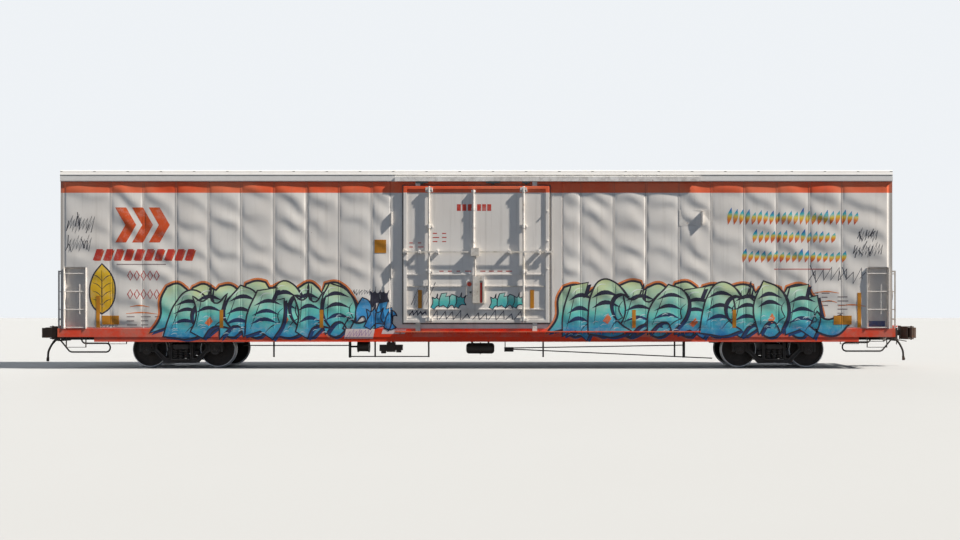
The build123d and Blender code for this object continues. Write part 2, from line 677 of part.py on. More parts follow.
# Trucks
def wheelset():
    """Axle with two wheels and bearing end caps, about the Y axis at the origin."""
    back = BACK_TO_BACK / 2
    face = back + RIM_WIDTH
    middle = back + RIM_WIDTH / 2 + 12
    half_plate = WHEEL_PLATE / 2
    flange = WHEEL_RADIUS + FLANGE
    rim = WHEEL_RADIUS - RIM_DEPTH
    hub = WHEEL_HUB_RADIUS
    cup_start = JOURNAL_CENTRE - CUP_LENGTH / 2 - SEAT
    cup_end = JOURNAL_CENTRE + CUP_LENGTH / 2 + SEAT
    journal = JOURNAL_RADIUS - SEAT
    outline = [(0, 0), (AXLE_RADIUS, 0), (AXLE_RADIUS, back - 22), (hub, back - 22), (hub, middle - half_plate),
               (rim, middle - half_plate), (rim, back), (flange, back), (flange, back + 18),
               (WHEEL_RADIUS, back + 36), (WHEEL_RADIUS, face), (rim, face), (rim, middle + half_plate),
               (hub, middle + half_plate), (hub, face + 22), (AXLE_RADIUS, face + 22), (AXLE_RADIUS, cup_start),
               (journal, cup_start), (journal, cup_end), (98, cup_end), (98, cup_end + END_CAP),
               (0, cup_end + END_CAP)]
    half = revolve(Polygon(*outline, align=None), axis=Axis.Y)
    return half + flipped_y(half)


def bearing():
    """Bearing cup at the origin, about Y."""
    return y_cylinder(CUP_RADIUS, CUP_LENGTH) - y_cylinder(JOURNAL_RADIUS, CUP_LENGTH + 2)


def adapter():
    """Saddle between the bearing cup and the side frame's jaw."""
    half = FRAME_THICK / 2 - 6
    saddle = block(10 - JAW, JAW - 10, -half, half, 60, CUP_RADIUS + ADAPTER)
    return saddle - y_cylinder(CUP_RADIUS + SEAT, FRAME_THICK + 2)


def side_frame():
    """Cast side frame with lips round its openings, a spring seat and guides for the brake beams.

    It is drawn about the truck's centre, with its inner face towards +Y.
    """
    jaw_out = half_base + JAW
    jaw_in = half_base - JAW
    shoulder = jaw_roof + FRAME_SHOULDER
    column = WINDOW_HALF + COLUMN
    bend = column + 120
    half = [(0, FRAME_TOP), (column, FRAME_TOP), (640, shoulder), (jaw_out + JAW_LEG - 25, shoulder),
            (jaw_out + JAW_LEG, shoulder - 30), (jaw_out + JAW_LEG, JAW_FOOT), (jaw_out, JAW_FOOT),
            (jaw_out, jaw_roof), (jaw_in, jaw_roof), (jaw_in, JAW_FOOT), (jaw_in - JAW_LEG, JAW_FOOT),
            (bend, FRAME_FOOT), (0, FRAME_FOOT)]
    outline = half + [(-x, z) for x, z in reversed(half[1:-1])]
    hole = [(column, SPRING_FOOT + 25), (bend - 35, SPRING_FOOT + 20), (640, over_rail(480.0)),
            (640, jaw_roof - 20), (column, FRAME_TOP - 105)]
    window_height = WINDOW_TOP - SPRING_FOOT
    window = Pos(0, SPRING_FOOT + window_height / 2) * Rectangle(2 * WINDOW_HALF, window_height)
    shape = Polygon(*outline, align=None) - window
    shape -= [Polygon(*hole, align=None), Polygon(*[(-x, z) for x, z in hole], align=None)]
    hollow = offset(shape, amount=-FRAME_LIP, kind=Kind.INTERSECTION)
    half_thick = FRAME_THICK / 2
    pocket = half_thick - FRAME_WEB / 2
    frame = extrude(Pos(0, -half_thick, 0) * (Plane.XZ * shape), amount=FRAME_THICK, dir=(0, 1, 0))
    for start in (-half_thick, FRAME_WEB / 2):
        frame -= extrude(Pos(0, start, 0) * (Plane.XZ * hollow), amount=pocket, dir=(0, 1, 0))
    frame += block(-WINDOW_HALF, WINDOW_HALF, -165, 165, SPRING_FOOT - 30, SPRING_FOOT)
    guide = block(column - 20, column + 112, half_thick - 20, half_thick + 34,
                  BRAKE_BEAM_HEIGHT - 56, BRAKE_BEAM_HEIGHT + 56)
    guide -= block(column + 1, column + 113, half_thick, half_thick + 35,
                   BRAKE_BEAM_HEIGHT - 30 - SEAT, BRAKE_BEAM_HEIGHT + 30 + SEAT)
    return frame + guide + flipped_x(guide)


def spring_nest():
    """Six coil springs in two rows under the bolster's end, as plain solids of their outside size."""
    height = SPRING_HEAD - SPRING_FOOT
    return [Pos(SPRING_PITCH * column, SPRING_PITCH * row, SPRING_FOOT + height / 2) * Cylinder(SPRING_RADIUS, height)
            for row in (-0.5, 0.5) for column in (-1, 0, 1)]


def truck_bolster():
    """Bolster with the bowl that the body's centre plate turns in, wedges and side bearings."""
    end = JOURNAL_CENTRE + 105
    bowl = CENTRE_PLATE_FOOT - SEAT
    end_top = over_rail(590.0)
    belly = over_rail(370.0)
    half = [(end, SPRING_HEAD), (end, end_top), (800, end_top + 15), (330, bowl)]
    outline = half + [(-y, z) for y, z in reversed(half)]
    outline += [(-800, SPRING_HEAD), (-420, belly), (420, belly), (800, SPRING_HEAD)]
    beam = cut_along_x(outline, -TRUCK_BOLSTER_HALF, TRUCK_BOLSTER_HALF)
    wedge = WINDOW_HALF - SEAT
    for side in (-1, 1):
        middle = side * JOURNAL_CENTRE
        beam += block(-wedge, wedge, middle - 55, middle + 55, SPRING_HEAD + 15, end_top - 20)
        beam += block(-110, 110, side * SIDE_BEARING_OUT - 45, side * SIDE_BEARING_OUT + 45, end_top - 20,
                      SIDE_BEARING_TOP)
    rim = Cylinder(CENTRE_PLATE_RADIUS + 30, 14) - Cylinder(CENTRE_PLATE_RADIUS + 2, 16)
    return beam + Pos(0, 0, bowl + 7) * rim


def brake_beam():
    """Brake beam at +X of the bolster, a channel with a head and a shoe at each wheel."""
    tread = half_base - WHEEL_RADIUS
    x_from = tread - 92
    x_to = tread - 34
    low = BRAKE_BEAM_HEIGHT - 30
    high = BRAKE_BEAM_HEIGHT + 30
    end = JOURNAL_CENTRE - FRAME_THICK / 2 - SEAT
    shoe_middle = BACK_TO_BACK / 2 + RIM_WIDTH / 2 + 12
    beam = block(x_from, x_to, -end, end, low, high)
    beam -= block(x_from + 14, x_to + 1, 90 - shoe_middle, shoe_middle - 90, low + 14, high - 14)
    inside = WHEEL_RADIUS + SHOE_GAP
    ring = y_cylinder(inside + SHOE_THICK, SHOE_WIDTH) - y_cylinder(inside, SHOE_WIDTH + 2)
    shoe = Pos(half_base, 0, axle_height) * ring & block(tread - 80, tread + 60, -50, 50, low - 120, high + 100)
    head = block(x_from + 10, tread - 20, -40, 40, low - 30, high + 30)
    pieces = [beam]
    for side in (-1, 1):
        place = Pos(0, side * shoe_middle, 0)
        pieces += [place * head, place * shoe]
    return joined(pieces)


frame_near = Pos(0, -JOURNAL_CENTRE, 0) * side_frame()
spring_pairs = [Pos(0, side * JOURNAL_CENTRE, 0) * spring for side in (-1, 1) for spring in spring_nest()]
for letter, middle in (("a", -truck_centre), ("b", truck_centre)):
    here = Pos(middle, 0, 0)
    save(f"truck_bolster_{letter}", here * truck_bolster())
    save(f"side_frames_{letter}", here * frame_near, here * flipped_y(frame_near))
    save(f"springs_{letter}", *[here * spring for spring in spring_pairs])
    save(f"brake_beams_{letter}", here * brake_beam(), here * flipped_x(brake_beam()))
    journals = [Pos(middle + end * half_base, side * JOURNAL_CENTRE, axle_height)
                for end in (-1, 1) for side in (-1, 1)]
    save(f"bearings_{letter}", *[journal * piece for journal in journals for piece in (bearing(), adapter())])

wheels = wheelset()
axle_places = [end * truck_centre + side * half_base for end in (-1, 1) for side in (-1, 1)]
for number, place in enumerate(axle_places, start=1):
    save(f"wheelset_{number}", Pos(place, 0, axle_height) * wheels)


# Couplers
def coupler():
    """Shank, head, guard arm and knuckle pin, measured from the pulling face at x = 0."""
    half_width = SHANK_WIDTH / 2
    half_height = SHANK_HEIGHT / 2
    butt = Pos(-COUPLER_LENGTH, 0, 0)
    knuckle_pin = Pos(KNUCKLE_PIN_X, KNUCKLE_PIN_Y, 0)
    shank = block(-COUPLER_LENGTH, -300, -half_width, half_width, -half_height, half_height)
    shank += butt * Cylinder(half_width, SHANK_HEIGHT)
    shank -= butt * Cylinder(COUPLER_PIN_RADIUS + SEAT, SHANK_HEIGHT + 2)
    head = cut_along_z([(-335, -85), (-290, -150), (-200, -214), (-40, -222), (-8, -196), (-4, -104), (-125, -22),
                        (-125, 62), (-150, 110), (-300, 120), (-335, 85)], -LUG_HALF, LUG_HALF)
    head -= block(-124, 90, -100, 61, -LUG_HALF - 1, LUG_HALF + 1)
    head -= knuckle_pin * Cylinder(132, 2 * (KNUCKLE_HALF + KNUCKLE_PLAY))
    guard = cut_along_z([(-310, 70), (-280, 134), (-180, 178), (62, 218), (86, 192), (70, 160), (-58, 112),
                         (-112, 62), (-126, 20), (-300, 20)], -132, 132)
    horn = block(-360, -330, -100, 100, -half_height, LUG_HALF + 20)
    return shank + head + guard + horn + knuckle_pin * Cylinder(KNUCKLE_PIN_RADIUS, 2 * LUG_HALF + 30)


def knuckle():
    """Knuckle that turns on the coupler's pin, measured from the pulling face at x = 0."""
    pin = Pos(KNUCKLE_PIN_X, KNUCKLE_PIN_Y, 0)
    hook = cut_along_z([(-90, -208), (0, -202), (58, -160), (77, -70), (72, 6), (44, 26), (10, 14), (0, -12), (0, -72),
                        (-22, -96), (-70, -92), (-134, -50), (-164, -72), (-150, -112)], -KNUCKLE_HALF, KNUCKLE_HALF)
    hook += pin * Cylinder(64, 2 * KNUCKLE_HALF)
    return hook - pin * Cylinder(KNUCKLE_PIN_RADIUS + SEAT, 3 * KNUCKLE_HALF)


for letter, turn in (("a", 180), ("b", 0)):
    place = Rot(0, 0, turn) * Pos(pulling_face, 0, COUPLER_HEIGHT)
    save(f"coupler_{letter}", place * coupler())
    save(f"knuckle_{letter}", place * knuckle())


def uncoupling_lever():
    """Bent bar from the handle at the corner to below the coupler's head, with two brackets."""
    face = body_end + END_SILL
    line = face + 60
    inner = -sill_toe - 22
    tip = pulling_face - 230
    under = COUPLER_HEIGHT - LUG_HALF - 50
    bar = tube([(line, -1420, lever_height - 150), (line, -1420, lever_height), (line, inner, lever_height),
                (tip, inner, under), (tip, -90, under)], 22.0, [32.0, 45.0, 30.0], 8)
    pieces = [bar]
    for place in (-1180, -760):
        plate = block(face, face + 12, place - 25, place + 25, lever_height - 20, SILL_STEP + 60)
        pieces.append(plate + block(face + 11, line + 4, place - 7, place + 7, lever_height - 18, lever_height + 18))
    return joined(pieces)


save("uncoupling_levers", *both_sides(uncoupling_lever()))


# Hand brake on the B end
def hand_brake():
    """Housing and wheel on the end wall, the rod down to a bell crank, and the rod inwards."""
    middle = -560.0
    height = over_rail(1900.0)
    radius = 280.0
    line = body_end + END_SILL + 18
    housing = block(body_end, body_end + 130, middle - 150, middle + 150, height - 190, height + 150)
    shaft = Pos(body_end + 165, middle, height) * x_cylinder(24, 90)
    pieces = [housing, shaft, Pos(body_end + 190, middle, height) * x_cylinder(42, 40)]
    for number in range(5):
        spoke = block(-8, 8, 30, radius - 15, -13, 13)
        pieces.append(Pos(body_end + 190, middle, height) * Rot(72 * number + 18, 0, 0) * spoke)
    pieces.append(Pos(body_end + 190, middle, height) * (x_cylinder(radius, 26) - x_cylinder(radius - 30, 28)))
    pieces.append(rod((line, middle, height - 180), (line, middle, SILL_STEP - 60), 18.0))
    crank = [(line - 14, SILL_STEP - 40), (line + 14, SILL_STEP - 40), (line + 14, SILL_STEP - 100),
             (line - 60, SILL_STEP - 150), (line - 90, SILL_STEP - 130), (line - 40, SILL_STEP - 80)]
    pieces.append(cut_along_y(crank, middle - 9, middle + 9))
    pieces.append(block(line - 84, line - 34, middle - 20, middle + 20, SILL_STEP - 110, SILL_STEP))
    inner = outer_bearer - BEARER_FLANGE / 2
    level = SILL_STEP - 135
    pieces.append(rod((line - 75, middle, level), (inner, middle, level), 18.0))
    return joined(pieces)


save("hand_brake", hand_brake())


# Brake equipment under the near side
def carrier(place):
    """Flat bar across the gear line, from the centre sill's flange to the side sill's lip."""
    half = HANGER_WIDTH / 2
    return block(place - half, place + half, -lip_edge, -sill_inside, CENTRE_SILL_FOOT - HANGER_THICK,
                 CENTRE_SILL_FOOT)


def hanging(x_from, x_to, half_width, z_from):
    """Plate or block on the gear line, from a height up into the carrier over it."""
    return block(x_from, x_to, GEAR_LINE - half_width, GEAR_LINE + half_width, z_from, CENTRE_SILL_FOOT - 1)


def rod_post(place):
    """Carrier with the flat post beside the brake rods."""
    edge = GEAR_LINE - ROD / 2
    post = block(place - 21, place + 21, edge - HANGER_THICK + 3, edge + 3, over_rail(255.0), CENTRE_SILL_FOOT - 1)
    return carrier(place) + post


def gear_rod(x_from, z_from, x_to, z_to):
    """Brake rod on the gear line, with its heights given over the rail."""
    return rod((x_from, GEAR_LINE, over_rail(z_from)), (x_to, GEAR_LINE, over_rail(z_to)), ROD)


def left_brake_rods():
    """Rods that the lever at the brake cylinder pulls, with their posts."""
    lever = carrier(-3355.0) + hanging(-3390.0, -3320.0, 10.0, over_rail(240.0))
    return joined([lever, gear_rod(60 - inner_reach, 560.0, -3355.0, 560.0), gear_rod(-3355.0, 271.0, -1270.0, 271.0),
                   rod_post(-5345.0), rod_post(-2694.0), rod_post(-1290.0)])


def right_brake_rods():
    """Slack adjuster and the rods from it to the other truck, with their posts."""
    adjuster = Pos(810, GEAR_LINE, over_rail(455.0)) * x_cylinder(60, 240)
    lever = carrier(5393.0) + hanging(5358.0, 5428.0, 10.0, over_rail(240.0))
    return joined([adjuster, carrier(710.0) + hanging(700.0, 720.0, 40.0, over_rail(420.0)),
                   gear_rod(705.0, 470.0, inner_reach - 60, 225.0), gear_rod(705.0, 490.0, 5393.0, 568.0),
                   lever, rod_post(1707.0), rod_post(5150.0)])


def brake_cylinder():
    """Brake cylinder with its flanges and push rod, hung from two carriers."""
    left = -3150.0
    right = -2842.0
    height = over_rail(530.0)
    body = Pos((left + right) / 2, GEAR_LINE, height) * x_cylinder(128, right - left)
    pieces = [body]
    for place in (left + 12, right - 12):
        pieces.append(Pos(place, GEAR_LINE, height) * x_cylinder(150, 24))
        pieces.append(carrier(place) + hanging(place - 8, place + 8, 90, height))
    pieces.append(rod((left + 5, GEAR_LINE, height), (-3320.0, GEAR_LINE, height), 50.0))
    return joined(pieces)


def control_valve():
    """Control valve: the pipe bracket in the middle and a valve portion on each side of it."""
    low = over_rail(352.0)
    high = over_rail(640.0)
    pieces = [block(-2380, -2170, GEAR_LINE - 110, GEAR_LINE + 110, low + 40, high)]
    for x_from, x_to, lift in ((-2572.0, -2375.0, 0.0), (-2175.0, -1978.0, 25.0)):
        pieces.append(block(x_from, x_to, GEAR_LINE - 85, GEAR_LINE + 85, low + 60 + lift, high - 60))
        bowl = Cylinder(68, 160, align=(Align.CENTER, Align.CENTER, Align.MIN))
        pieces.append(Pos((x_from + x_to) / 2, GEAR_LINE, low + lift) * bowl)
    for place in (-2330, -2220):
        pieces.append(carrier(place) + hanging(place - 25, place + 25, 100, high - 20))
    return joined(pieces)


def air_reservoir():
    """Two-compartment air reservoir with rounded ends, on two saddles."""
    left = -304.0
    right = 425.0
    radius = 140.0
    height = over_rail(485.0)
    half = (right - left) / 2
    half_outline = [(half, 0), (half, 85), (half - 22, 122), (half - 60, radius), (12, radius), (12, radius + 16)]
    outline = half_outline + [(-x, r) for x, r in reversed(half_outline)]
    tank = revolve(Polygon(*outline, align=None), axis=Axis.X)
    pieces = [Pos((left + right) / 2, GEAR_LINE, height) * tank]
    for place in (left + 150, right - 150):
        pieces.append(carrier(place) + hanging(place - 20, place + 20, 110, height))
    return joined(pieces)


def brake_pipe():
    """Brake pipe from end to end, with a hairpin at each end and a crossing at the middle."""
    inward = body_end - 850
    outward = body_end - 90
    end = [(outward, PIPE_OUT, PIPE_HEIGHT), (outward, PIPE_OUT, HAIRPIN_UPPER), (inward, PIPE_OUT, HAIRPIN_UPPER),
           (inward, PIPE_OUT, HAIRPIN_LOWER), (cock_place - 330, PIPE_OUT, HAIRPIN_LOWER),
           (cock_place - 60, PIPE_OUT, COCK_HEIGHT), (cock_place, PIPE_OUT, COCK_HEIGHT)]
    other = [(-x, -y, z) for x, y, z in reversed(end)]
    bends = [110, 110, 110, 110, 130, 90]
    points = other + [(0, -PIPE_OUT, PIPE_HEIGHT), (0, PIPE_OUT, PIPE_HEIGHT)] + end
    return tube(points, PIPE, list(reversed(bends)) + [130, 130] + bends, 8)


def angle_cock():
    """Angle cock at the +X end of the brake pipe, with the arm that holds it to the striker."""
    body = Pos(cock_place + 40, PIPE_OUT, COCK_HEIGHT) * x_cylinder(38, 80)
    body += rod((cock_place + 50, PIPE_OUT, COCK_HEIGHT), (cock_place + 118, PIPE_OUT, COCK_HEIGHT - 82), 66.0)
    body += block(cock_place + 25, cock_place + 45, PIPE_OUT - 8, PIPE_OUT + 90, COCK_HEIGHT + 34, COCK_HEIGHT + 48)
    top = COCK_HEIGHT + PIPE / 2 + SEAT
    arm = block(cock_place - 90, cock_place - 62, striker_edge, PIPE_OUT + 20, top, top + 12)
    arm += block(cock_place - 90, cock_place + 20, PIPE_OUT - 20, PIPE_OUT + 20, top, top + 12)
    return body + arm


def air_hose():
    """Free hose that hangs from the +X angle cock."""
    route = [(118, -82), (152, -123), (215, -240), (258, -350), (258, -470)]
    points = [(cock_place + x, PIPE_OUT, COCK_HEIGHT + z) for x, z in route]
    return tube(points, HOSE, 100.0, 8)


def hose_coupling():
    """Coupling casting at the free end of the +X hose."""
    neck = Pos(0, 0, -22) * Cylinder(33, 44)
    body = Pos(4, 0, -62) * Box(62, 34, 96)
    face = Pos(10, -16, -72) * y_cylinder(36, 26)
    return Pos(cock_place + 258, PIPE_OUT, COCK_HEIGHT - 470) * (neck + body + face)


save("brake_rods", left_brake_rods(), right_brake_rods())
save("brake_cylinder", brake_cylinder())
save("control_valve", control_valve())
save("air_reservoir", air_reservoir())
save("brake_pipe", brake_pipe())
save("angle_cocks", *both_sides(angle_cock()))
save("air_hose_b", air_hose())
save("air_hose_a", turned(air_hose()))
save("hose_coupling_b", hose_coupling())
save("hose_coupling_a", turned(hose_coupling()))
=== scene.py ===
import math
import random
from bisect import bisect

import bmesh
import bpy
from bpy.props import FloatProperty, FloatVectorProperty, PointerProperty
from bpy.types import Operator, Panel, PropertyGroup
from mathutils import Matrix, Vector, noise


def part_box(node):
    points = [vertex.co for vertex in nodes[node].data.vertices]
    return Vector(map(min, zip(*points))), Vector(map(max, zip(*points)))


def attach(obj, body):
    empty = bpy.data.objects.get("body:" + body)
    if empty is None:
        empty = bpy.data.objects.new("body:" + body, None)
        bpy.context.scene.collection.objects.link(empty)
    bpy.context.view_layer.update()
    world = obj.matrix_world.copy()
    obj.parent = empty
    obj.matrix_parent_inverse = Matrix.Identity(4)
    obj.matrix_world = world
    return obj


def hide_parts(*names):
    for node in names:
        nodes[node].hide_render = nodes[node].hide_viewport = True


bl_info = {
    "name": "Refrigerator car",
    "version": (1, 0, 0),
    "blender": (4, 5, 0),
    "location": "3D View > Sidebar > Reefer",
    "description": "Paint, dented sides, springs, hoses and small fittings of a refrigerator car",
    "category": "Object",
}

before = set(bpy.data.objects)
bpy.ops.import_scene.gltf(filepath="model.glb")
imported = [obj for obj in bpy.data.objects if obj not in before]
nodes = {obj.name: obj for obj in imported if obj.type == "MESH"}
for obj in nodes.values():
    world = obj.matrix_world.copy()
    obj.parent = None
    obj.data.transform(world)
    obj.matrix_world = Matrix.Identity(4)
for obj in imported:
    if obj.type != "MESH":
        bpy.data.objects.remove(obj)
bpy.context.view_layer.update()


def reach(name, axis, end=1):
    """How far a node goes along an axis, at its high end 1 or its low end 0."""
    return round(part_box(name)[end]["XYZ".index(axis)], 4)


def middle_of(name):
    """The middle of a node's box."""
    return [(low + high) / 2 for low, high in zip(*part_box(name))]


# Places on the car that the frame gives, in metres
SIDE_FACE = reach("side_wall_left", "Y")
SILL_FACE = reach("side_sills", "Y")
POST_FACE = reach("door_posts", "Y")
SILL_FOOT = reach("side_sills", "Z", 0)
SILL_STEP = reach("end_sills", "Z", 0)
SIDE_FOOT = reach("side_wall_left", "Z", 0)
SIDE_TOP = reach("door_posts", "Z")
POST_EDGE = reach("door_posts", "X")
CORNER_EDGE = reach("side_wall_left", "X")
BODY_END = reach("roof", "X")
WELL_TOP = reach("corner_ladders", "Z")
DOOR_EDGE = reach("plug_door_left", "X")
DOOR_FOOT = reach("plug_door_left", "Z", 0)
DOOR_TOP = reach("plug_door_left", "Z")
AXLE_HEIGHT = round(middle_of("wheelset_1")[2], 4)
TRUCK_CENTRE = round(middle_of("springs_b")[0], 4)

# Places that no box gives: the ladder wells, the seams and the faces of the door's parts, out from the middle
WELL_EDGE = 10.042
FIRST_SEAM = 2.690
SEAM_PITCH = 0.8385
SEAM_COUNT = 9
LAST_SEAM_LINE = 9.8
BAND_FOOT = SIDE_TOP - 0.290
PANEL_FACE = 1.571
RIM_FACE = 1.586
PULL_BOX_FACE = 1.6235
BAR_HEIGHT = 3.0044

# Turns: half way round to the far side, and from flat on the ground to upright
HALF_TURN = Matrix.Rotation(math.pi, 4, "Z")
UPRIGHT = Matrix.Rotation(math.pi / 2, 4, "X")

seams = [FIRST_SEAM + SEAM_PITCH * step for step in range(SEAM_COUNT)]
panel_edges = [POST_EDGE, *seams, CORNER_EDGE]

# Strips of the near side and of its door: lowest and highest point, and depth where the strip is flat
SIDE_STRIPS = (
    (SILL_FOOT, SILL_STEP, SIDE_FACE),
    (SILL_STEP, SIDE_FOOT, SILL_FACE),
    (SIDE_FOOT, SIDE_TOP, None),
)
DOOR_LOWER = (
    (1.1804, 1.3154, 1.588),
    (1.3154, 1.5254, 1.554),
    (1.5254, 1.5394, 1.588),
    (1.5394, 2.4144, 1.562),
)
DOOR_UPPER = ((2.4424, 4.6404, 1.572),)

# Outlines of the sprayed motifs in a unit square, with a third value where the line turns sharply
CREST = (
    (0.0, 0.0, 1), (0.03, 0.36), (0.14, 0.74), (0.40, 0.99), (0.74, 0.94), (1.02, 0.70, 1), (0.82, 0.73),
    (0.64, 0.63), (0.62, 0.40), (0.82, 0.19), (1.08, 0.06, 1), (0.62, -0.06), (0.30, -0.03),
)
SHARD = (
    (0.06, 0.02, 1), (0.0, 0.46), (0.14, 0.96, 1), (0.64, 1.02, 1), (0.56, 0.74, 1), (0.88, 0.80, 1),
    (0.97, 0.30), (0.80, -0.06, 1), (0.43, 0.12, 1),
)
PEBBLE = (
    (0.10, -0.04, 1), (0.0, 0.50), (0.34, 1.0, 1), (0.80, 0.84), (0.98, 0.42), (0.72, 0.0, 1), (0.50, 0.22),
)
FLAME = (
    (0.02, 0.06, 1), (0.16, 0.40), (0.05, 0.80, 1), (0.34, 0.70), (0.52, 1.04, 1), (0.62, 0.66),
    (0.96, 0.86, 1), (0.84, 0.44), (1.06, 0.14, 1), (0.60, 0.16), (0.36, -0.08, 1),
)
MOTIFS = (CREST, SHARD, PEBBLE, FLAME)
TAIL = (
    (0.0, 0.30, 1), (0.16, 0.78, 1), (0.40, 0.52), (0.78, 0.66, 1), (1.0, 0.34, 1), (0.70, 0.0), (0.30, 0.06),
)
PETAL = ((0.45, 0.0, 1), (0.94, 0.42), (0.55, 1.0, 1), (0.06, 0.58))
LEAF = (
    (0.50, -0.04, 1), (0.14, 0.12), (0.0, 0.44), (0.12, 0.76), (0.46, 1.02, 1), (0.82, 0.80), (1.0, 0.46),
    (0.84, 0.12),
)


def colour(name, description, default):
    """A colour that the user can change."""
    return FloatVectorProperty(
        name=name, description=description, default=(*default, 1.0), size=4, min=0.0, max=1.0, subtype="COLOR"
    )


def length(name, description, default):
    """A size in metres that the user can change."""
    return FloatProperty(
        name=name, description=description, default=default, min=0.0, unit="LENGTH", subtype="DISTANCE"
    )


def strength(name, description, default):
    """The strength of a light, which the user can change."""
    return FloatProperty(name=name, description=description, default=default, min=0.0)


class BodyColours(PropertyGroup):
    """Colours of the car body, its sills and its roof."""

    white: colour("Side white", "Paint of the sides, the ends and the door", (0.78, 0.74, 0.70))
    faded: colour("Faded white", "The same paint where it has chalked", (0.82, 0.79, 0.755))
    band: colour("Band", "Red orange band under the eaves", (0.80, 0.098, 0.028))
    band_faded: colour("Faded band", "The band where the sun has bleached it", (0.84, 0.19, 0.085))
    sill: colour("Sill", "Red orange paint of the sills", (0.86, 0.046, 0.004))
    # Darker than a real white roof: the dimming is painted shade against the strong sun on the roof, and the
    # mottling is weathering.
    roof: colour("Roof", "Weathered roof sheets", (0.40, 0.40, 0.39))
    trim: colour("Trim", "White mouldings, fascia and hood", (0.94, 0.925, 0.90))
    # Also the colour of the painted shade beside the laps and on the set-back faces of the side paint.
    grime_and_shade: colour("Grime", "Road dirt that runs down the paint", (0.20, 0.165, 0.13))
    rust: colour("Rust", "Rust at scratches and seams", (0.21, 0.075, 0.028))


class RunningGearColours(PropertyGroup):
    """Colours of the underframe, the trucks and the couplers."""

    underframe: colour("Underframe", "Old black paint of the underframe", (0.024, 0.022, 0.021))
    dust: colour("Dust", "Brown ballast dust on the running gear", (0.062, 0.048, 0.038))
    castings: colour("Castings", "Side frames and bolsters of the trucks", (0.090, 0.083, 0.076))
    wheel: colour("Wheel", "Oily plate and hub of a wheel", (0.030, 0.024, 0.021))
    # The worn steel is made this pale also as a painted highlight, where the rim lies in shadow under the
    # car.
    tread: colour("Tread", "Steel that the rail keeps bright", (0.82, 0.80, 0.77))
    coupler: colour("Coupler", "Bare cast iron with rust", (0.105, 0.056, 0.034))
    hose: colour("Hose", "Black rubber of the air hoses", (0.022, 0.022, 0.023))


class SideSizes(PropertyGroup):
    """Sizes of the dented side sheets and their laps."""

    dent_depth: length("Dent depth", "How far a panel swells between its laps", 0.042)
    dent_pitch: length("Dent pitch", "Height of one swelling", 0.64)
    cell: length("Cell", "Size of one face of the side sheets", 0.05)
    lap_width: length("Lap width", "Width of the strip over each seam", 0.030)
    lap_proud: length("Lap thickness", "How far the strip stands out", 0.0035)


class SprayColours(PropertyGroup):
    """Colours of the sprayed pieces, the plain marks and the reflectors."""

    deep: colour("Deep", "Foot of the sprayed pieces", (0.016, 0.145, 0.40))
    blue: colour("Blue", "Lower third", (0.055, 0.38, 0.56))
    teal: colour("Teal", "Middle", (0.15, 0.60, 0.53))
    lime: colour("Lime", "Head of the sprayed pieces", (0.62, 0.70, 0.36))
    glow: colour("Glow", "Orange mist round the outlines", (0.72, 0.21, 0.06))
    ink: colour("Ink", "Outlines and scribbles", (0.010, 0.010, 0.026))
    orange: colour("Orange", "Chevrons", (0.60, 0.075, 0.018))
    red: colour("Red", "Blocks below the chevrons, diamonds and dashes on the door", (0.42, 0.030, 0.022))
    yellow: colour("Yellow", "Leaf by the left ladder", (0.66, 0.36, 0.015))
    reflector: colour("Reflector", "Yellow reflectors and plates", (0.62, 0.25, 0.012))


class StageSettings(PropertyGroup):
    """Light and floor."""

    sky: strength("Sky", "Strength of the light from all round", 0.09)
    sun: strength("Sun", "Strength of the sun", 7.8)
    fill: strength("Fill", "Strength of the soft lamps round the car", 0.40)
    sun_width: FloatProperty(
        name="Sun width",
        description="Angle across the sun",
        default=math.radians(1.4),
        min=0.0,
        subtype="ANGLE",
    )
    floor: colour("Floor", "Plain pale floor", (0.41, 0.42, 0.43))


class Nodes:
    """A node tree in the making. Each method adds nodes and gives the socket that carries on."""

    def __init__(self, tree):
        self.tree = tree

    def node(self, kind, inputs=None, **settings):
        """Adds a node. Each input is a value, or the socket that feeds it."""
        made = self.tree.nodes.new(kind)
        for key, value in settings.items():
            setattr(made, key, value)
        for key, value in (inputs or {}).items():
            if isinstance(value, bpy.types.NodeSocket):
                self.tree.links.new(value, made.inputs[key])
            else:
                made.inputs[key].default_value = value
        return made

    def maths(self, operation, first, second=0.0, clamp=True):
        """One sum, kept between 0 and 1 unless clamp is off."""
        inputs = {0: first, 1: second}
        return self.node("ShaderNodeMath", inputs, operation=operation, use_clamp=clamp).outputs[0]

    def product(self, first, second):
        """Both values multiplied, kept between 0 and 1."""
        return self.maths("MULTIPLY", first, second)

    def seen(self):
        """1 for rays that the camera sees, also mirrored or through glass, and 0 for the other rays."""
        path = self.node("ShaderNodeLightPath").outputs
        seen = self.maths("MAXIMUM", path["Is Camera Ray"], path["Is Glossy Ray"])
        return self.maths("MAXIMUM", seen, path["Is Transmission Ray"])


